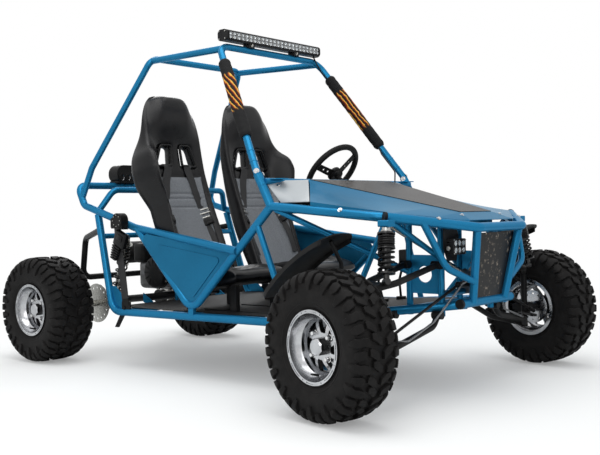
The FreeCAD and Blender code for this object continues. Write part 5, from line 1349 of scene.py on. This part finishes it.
class BUGGY_OT_engine(bpy.types.Operator):
    """Makes the single-cylinder engine with its fan shroud, covers and finned cylinder"""
    bl_idname = "buggy.engine"
    bl_label = "Engine"

    def execute(self, context):
        shape = Shape()
        # Crankcase with a cover on each side, then the fan, the cylinder and what feeds it
        shape.block((-0.735, 0.0, 0.440), (0.300, 0.240, 0.160), 0.030, 4, 0)
        shape.block((-0.820, 0.040, 0.410), (0.165, 0.180, 0.105), 0.026, 4, 0)
        for side, radius, x in ((-1, 0.092, -0.700), (1, 0.084, -0.715)):
            start = Vector((x, side * 0.118, 0.456))
            outline = [(0.0, 0.001), (0.0, radius), (0.018, radius), (0.024, radius - 0.006),
                       (0.040, radius - 0.010), (0.048, radius - 0.022), (0.050, 0.020), (0.051, 0.001)]
            shape.turned(outline, start, Y_AXIS * side, 48, 1 if side < 0 else 0)
            for at in hoop(start + Y_AXIS * (side * 0.019), X_AXIS, Z_AXIS, radius - 0.004, 8, 0.2):
                bolt(shape, placing(at, X_AXIS, Y_AXIS * side), 0.0055, 0.005, True, 3)
        fan = Matrix.Translation((-0.700, -0.1665, 0.456))
        for a in circle(12):
            turn = fan @ Matrix.Rotation(-a, 4, "Y") @ Matrix.Translation((0.055, 0, 0))
            shape.block(turn, (0.034, 0.004, 0.006), 0.0012, 1, 2)
        lean = math.radians(24)
        up = Vector((math.sin(lean), 0, math.cos(lean)))
        ahead = Vector((up.z, 0, -up.x))
        base = Vector((-0.718, 0.0, 0.498))
        for k in range(9):
            at = base + up * (0.010 + 0.0105 * k)
            size = 0.128 - 0.003 * abs(k - 4)
            shape.block(placing(at, ahead, up), (size, size, 0.0036), 0.0012, 1, 0)
        shape.tube([base, base + up * 0.105], 0.043, 28, 0)
        shape.block(placing(base + up * 0.112, ahead, up), (0.098, 0.104, 0.022), 0.008, 3, 0)
        shape.tube(smooth_line([(-0.782, 0.020, 0.545), (-0.826, 0.024, 0.560),
                                (-0.858, 0.030, 0.560)], 4), 0.021, 20, 3)
        shape.block((-0.865, 0.032, 0.548), (0.052, 0.056, 0.078), 0.012, 3, 0)
        shape.block((-0.850, -0.092, 0.560), (0.098, 0.110, 0.110), 0.024, 4, 2)
        shape.tube(smooth_line([(-0.866, 0.030, 0.586), (-0.864, 0.000, 0.600),
                                (-0.856, -0.050, 0.590)], 5), 0.018, 18, 2)
        shape.tube(smooth_line([(-0.640, 0.010, 0.560), (-0.600, 0.014, 0.545),
                                (-0.590, 0.030, 0.500), (-0.600, 0.060, 0.430)], 6), 0.0035, 10, 2)
        shape.block((-0.600, -0.020, 0.470), (0.070, 0.160, 0.110), 0.018, 3, 1)
        motor = shape.piece("engine_assembly", ["engine", "engine_black", "plastic", "steel"])
        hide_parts("engine")
        return {"FINISHED"}


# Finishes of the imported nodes


NODE_FINISHES = {
    "blue": "lower_frame rear_loop pillar_hoop door_frame_right door_frame_left rear_hoop roof_rails "
            "dash_bar front_frame_right front_frame_left bulkhead front_bumper",
    "panel_blue": "hood door_panels",
    "arm_black": "lower_arms upper_arms swing_arm rear_guard seat_mounts column_bearing pedals jack_tabs "
                 "rack_bar knuckle_right knuckle_left",
    "exhaust_black": "muffler",
    "hood_black": "hood_top",
    "cowl_grey": "cowl_plates",
    "plastic": "dash_panel rear_lamp tube_plugs belt_reels pillar_pads",
    "fender": "fender_right fender_left",
    "grip": "steering_wheel",
    "floor": "floor_pan",
    "lamp_black": "light_bar led_pods",
    "engine": "engine rack_housing",
    "steel": "lower_shaft rear_axle rear_shocks",
    "front_damper": "front_shocks",
    "braid": "brake_hoses",
    "cable": "light_bar_cable",
    "grille": "grille_panel",
    "leatherette": "seat_right seat_left",
    "webbing": "harness_straps",
    "rubber": "front_tyre_right front_tyre_left rear_tyres",
    "spring_black": "coil_springs",
}


class BUGGY_OT_finishes(bpy.types.Operator):
    """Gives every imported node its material"""
    bl_idname = "buggy.finishes"
    bl_label = "Finishes"

    def execute(self, context):
        for key, names in NODE_FINISHES.items():
            dress(finish(key), *names.split())
        return {"FINISHED"}


# Stage


class BUGGY_OT_stage(bpy.types.Operator):
    """Makes the camera, the pale floor and the soft studio light"""
    bl_idname = "buggy.stage"
    bl_label = "Stage"

    def execute(self, context):
        scene = context.scene
        scene.view_settings.view_transform = "Standard"
        self.make_camera(scene)
        self.make_world(scene)
        self.make_floor(scene)
        self.make_lamps(scene)
        return {"FINISHED"}

    def make_camera(self, scene):
        right = Vector((0.7546, 0.6558, -0.0209))
        up = Vector((0.0059, 0.0251, 0.9997))
        back = Vector((0.6561, -0.7545, 0.0151))
        data = bpy.data.cameras.new("photo_camera")
        data.lens = 53.71
        data.sensor_width = 36.0
        data.clip_end = 200.0
        camera = bpy.data.objects.new("photo_camera", data)
        turn = Matrix((right, up, back)).transposed().to_4x4()
        camera.matrix_world = Matrix.Translation((3.130, -3.333, 0.760)) @ turn
        scene.collection.objects.link(camera)
        scene.camera = camera

    def make_world(self, scene):
        """White for the eye and for reflections, and a softer sky for the light on the object."""
        sizes = scene.buggy_stage
        world = bpy.data.worlds.new("studio")
        world.use_nodes = True
        tree = world.node_tree
        tree.nodes.clear()
        rays = add(tree, "LightPath")
        near = {0: rays.outputs["Is Camera Ray"], 1: rays.outputs["Is Glossy Ray"]}
        seen = add(tree, "Math", near, operation="MAXIMUM")
        seen = add(tree, "Math", {0: seen, 1: rays.outputs["Is Transmission Ray"]}, operation="MAXIMUM")
        soft = add(tree, "Background", {"Color": "#EEF2F6", "Strength": sizes.sky_strength})
        white = add(tree, "Background", {"Color": "#FFFFFF", "Strength": 1.0})
        both = add(tree, "MixShader", {0: seen, 1: soft, 2: white})
        add(tree, "OutputWorld", {"Surface": both})
        scene.world = world

    def make_floor(self, scene):
        reach = scene.buggy_stage.floor_reach
        mesh = bpy.data.meshes.new("floor")
        corners = [(-reach, -reach, 0), (reach, -reach, 0), (reach, reach, 0), (-reach, reach, 0)]
        mesh.from_pydata(corners, [], [[0, 1, 2, 3]])
        mesh.materials.append(made_of("pale_studio_floor", studio_floor))
        floor = bpy.data.objects.new("floor", mesh)
        floor.location.z = -0.001
        scene.collection.objects.link(floor)

    def make_lamps(self, scene):
        sizes = scene.buggy_stage
        for name, at, towards, size, power in (
                ("top_softbox", (0.6, -0.8, 4.6), (0.0, 0.0, 0.4), 4.0, sizes.top_power),
                ("side_softbox", (2.6, -4.4, 2.6), (0.1, -0.2, 0.5), 2.6, sizes.side_power),
                ("rear_softbox", (-3.6, 2.6, 3.0), (-0.2, 0.0, 0.8), 2.4, sizes.rear_power)):
            lamp = bpy.data.lights.new(name, "AREA")
            lamp.shape = "SQUARE"
            lamp.size = size
            lamp.energy = power
            thing = bpy.data.objects.new(name, lamp)
            thing.location = at
            thing.rotation_mode = "QUATERNION"
            thing.rotation_quaternion = (Vector(towards) - Vector(at)).to_track_quat("-Z", "Y")
            scene.collection.objects.link(thing)


# Properties and panel


def colour_of(name, description, code):
    return bpy.props.FloatVectorProperty(name=name, description=description, default=linear(code)[:3],
                                         subtype="COLOR", min=0.0, max=1.0, size=3)


def length_of(name, description, default, low=0.0):
    return bpy.props.FloatProperty(name=name, description=description, default=default, min=low,
                                   subtype="DISTANCE", unit="LENGTH", precision=4)


def number_of(name, description, default, low=0.0, unit="NONE"):
    return bpy.props.FloatProperty(name=name, description=description, default=default, min=low, unit=unit)


def count_of(name, description, default, low):
    return bpy.props.IntProperty(name=name, description=description, default=default, min=low)


class BuggyColours(bpy.types.PropertyGroup):
    frame: colour_of("Frame", "Enamel of the tube frame", "#21749F")
    panels: colour_of("Panels", "Enamel of the hood and the door panels", "#216A8F")
    tyres: colour_of("Tyres", "Rubber of the tyres", "#100F0F")
    leatherette: colour_of("Leatherette", "Coated cloth of the seats", "#0C0C0E")
    seat_cloth: colour_of("Seat cloth", "Face cloth in the middle of the seats", "#6E7175")


class BuggyTyres(bpy.types.PropertyGroup):
    front_half_width: length_of("Front half width", "Half of the front tyre's width", TYRE_HALF["front"])
    rear_half_width: length_of("Rear half width", "Half of the rear tyre's width", TYRE_HALF["rear"])
    lug_height: length_of("Lug height", "How far the lugs stand off the carcass", 0.0118)
    pitches: count_of("Pitches", "How often the tread repeats round a tyre", 18, 8)


class BuggySprings(bpy.types.PropertyGroup):
    front_radius: length_of("Front radius", "Mean radius of the front springs", 0.029)
    rear_radius: length_of("Rear radius", "Mean radius of the rear springs", 0.028)
    wire: length_of("Wire", "Radius of the spring wire", 0.0046)
    upper_turns: number_of("Upper turns", "Turns of the close spring", 5.0)
    lower_turns: number_of("Lower turns", "Turns of the open spring", 4.5)


class BuggySleeves(bpy.types.PropertyGroup):
    start: length_of("Start", "Distance of the sleeve from the pillar's foot", 0.195)
    length: length_of("Length", "Length of the sleeve along the pillar", 0.465)
    radius: length_of("Radius", "Outer radius of the sleeve", 0.0288)


class BuggyLamps(bpy.types.PropertyGroup):
    diodes: count_of("Diodes", "Diodes in each row of the light bar", 24, 2)


class BuggyFittings(bpy.types.PropertyGroup):
    bead: length_of("Bead", "Radius of the weld beads", 0.0022)


class BuggyStage(bpy.types.PropertyGroup):
    sky_strength: number_of("Sky", "Strength of the light from all round", 0.8)
    top_power: number_of("Top lamp", "Power of the softbox above", 120.0, unit="POWER")
    side_power: number_of("Side lamp", "Power of the softbox beside the camera", 45.0, unit="POWER")
    rear_power: number_of("Rear lamp", "Power of the softbox behind", 45.0, unit="POWER")
    floor_reach: length_of("Floor reach", "Half of the floor's side", 40.0)


class BUGGY_PT_pieces(bpy.types.Panel):
    """Lists the pieces and the stage"""
    bl_idname = "BUGGY_PT_pieces"
    bl_label = "Buggy"
    bl_space_type = "VIEW_3D"
    bl_region_type = "UI"
    bl_category = "Buggy"

    def draw(self, context):
        scene = context.scene
        for name in GROUPS:
            group = getattr(scene, name)
            box = self.layout.box()
            for key in group.__annotations__:
                box.prop(group, key)
        for operator in OPERATORS:
            self.layout.operator(operator.bl_idname)


GROUPS = {"buggy_colours": BuggyColours, "buggy_tyres": BuggyTyres, "buggy_springs": BuggySprings,
          "buggy_sleeves": BuggySleeves, "buggy_lamps": BuggyLamps, "buggy_fittings": BuggyFittings,
          "buggy_stage": BuggyStage}
OPERATORS = [BUGGY_OT_stage, BUGGY_OT_finishes, BUGGY_OT_tyres, BUGGY_OT_rims, BUGGY_OT_springs,
             BUGGY_OT_seats,
             BUGGY_OT_harness, BUGGY_OT_sleeves, BUGGY_OT_lamps, BUGGY_OT_fittings, BUGGY_OT_engine]


def register():
    for group in GROUPS.values():
        bpy.utils.register_class(group)
    for name, group in GROUPS.items():
        setattr(bpy.types.Scene, name, bpy.props.PointerProperty(type=group))
    for operator in OPERATORS:
        bpy.utils.register_class(operator)
    bpy.utils.register_class(BUGGY_PT_pieces)


def unregister():
    bpy.utils.unregister_class(BUGGY_PT_pieces)
    for operator in reversed(OPERATORS):
        bpy.utils.unregister_class(operator)
    for name in GROUPS:
        delattr(bpy.types.Scene, name)
    for group in reversed(list(GROUPS.values())):
        bpy.utils.unregister_class(group)


def main():
    register()
    for operator in OPERATORS:
        group, name = operator.bl_idname.split(".")
        getattr(getattr(bpy.ops, group), name)()


if __name__ == "__main__":
    main()
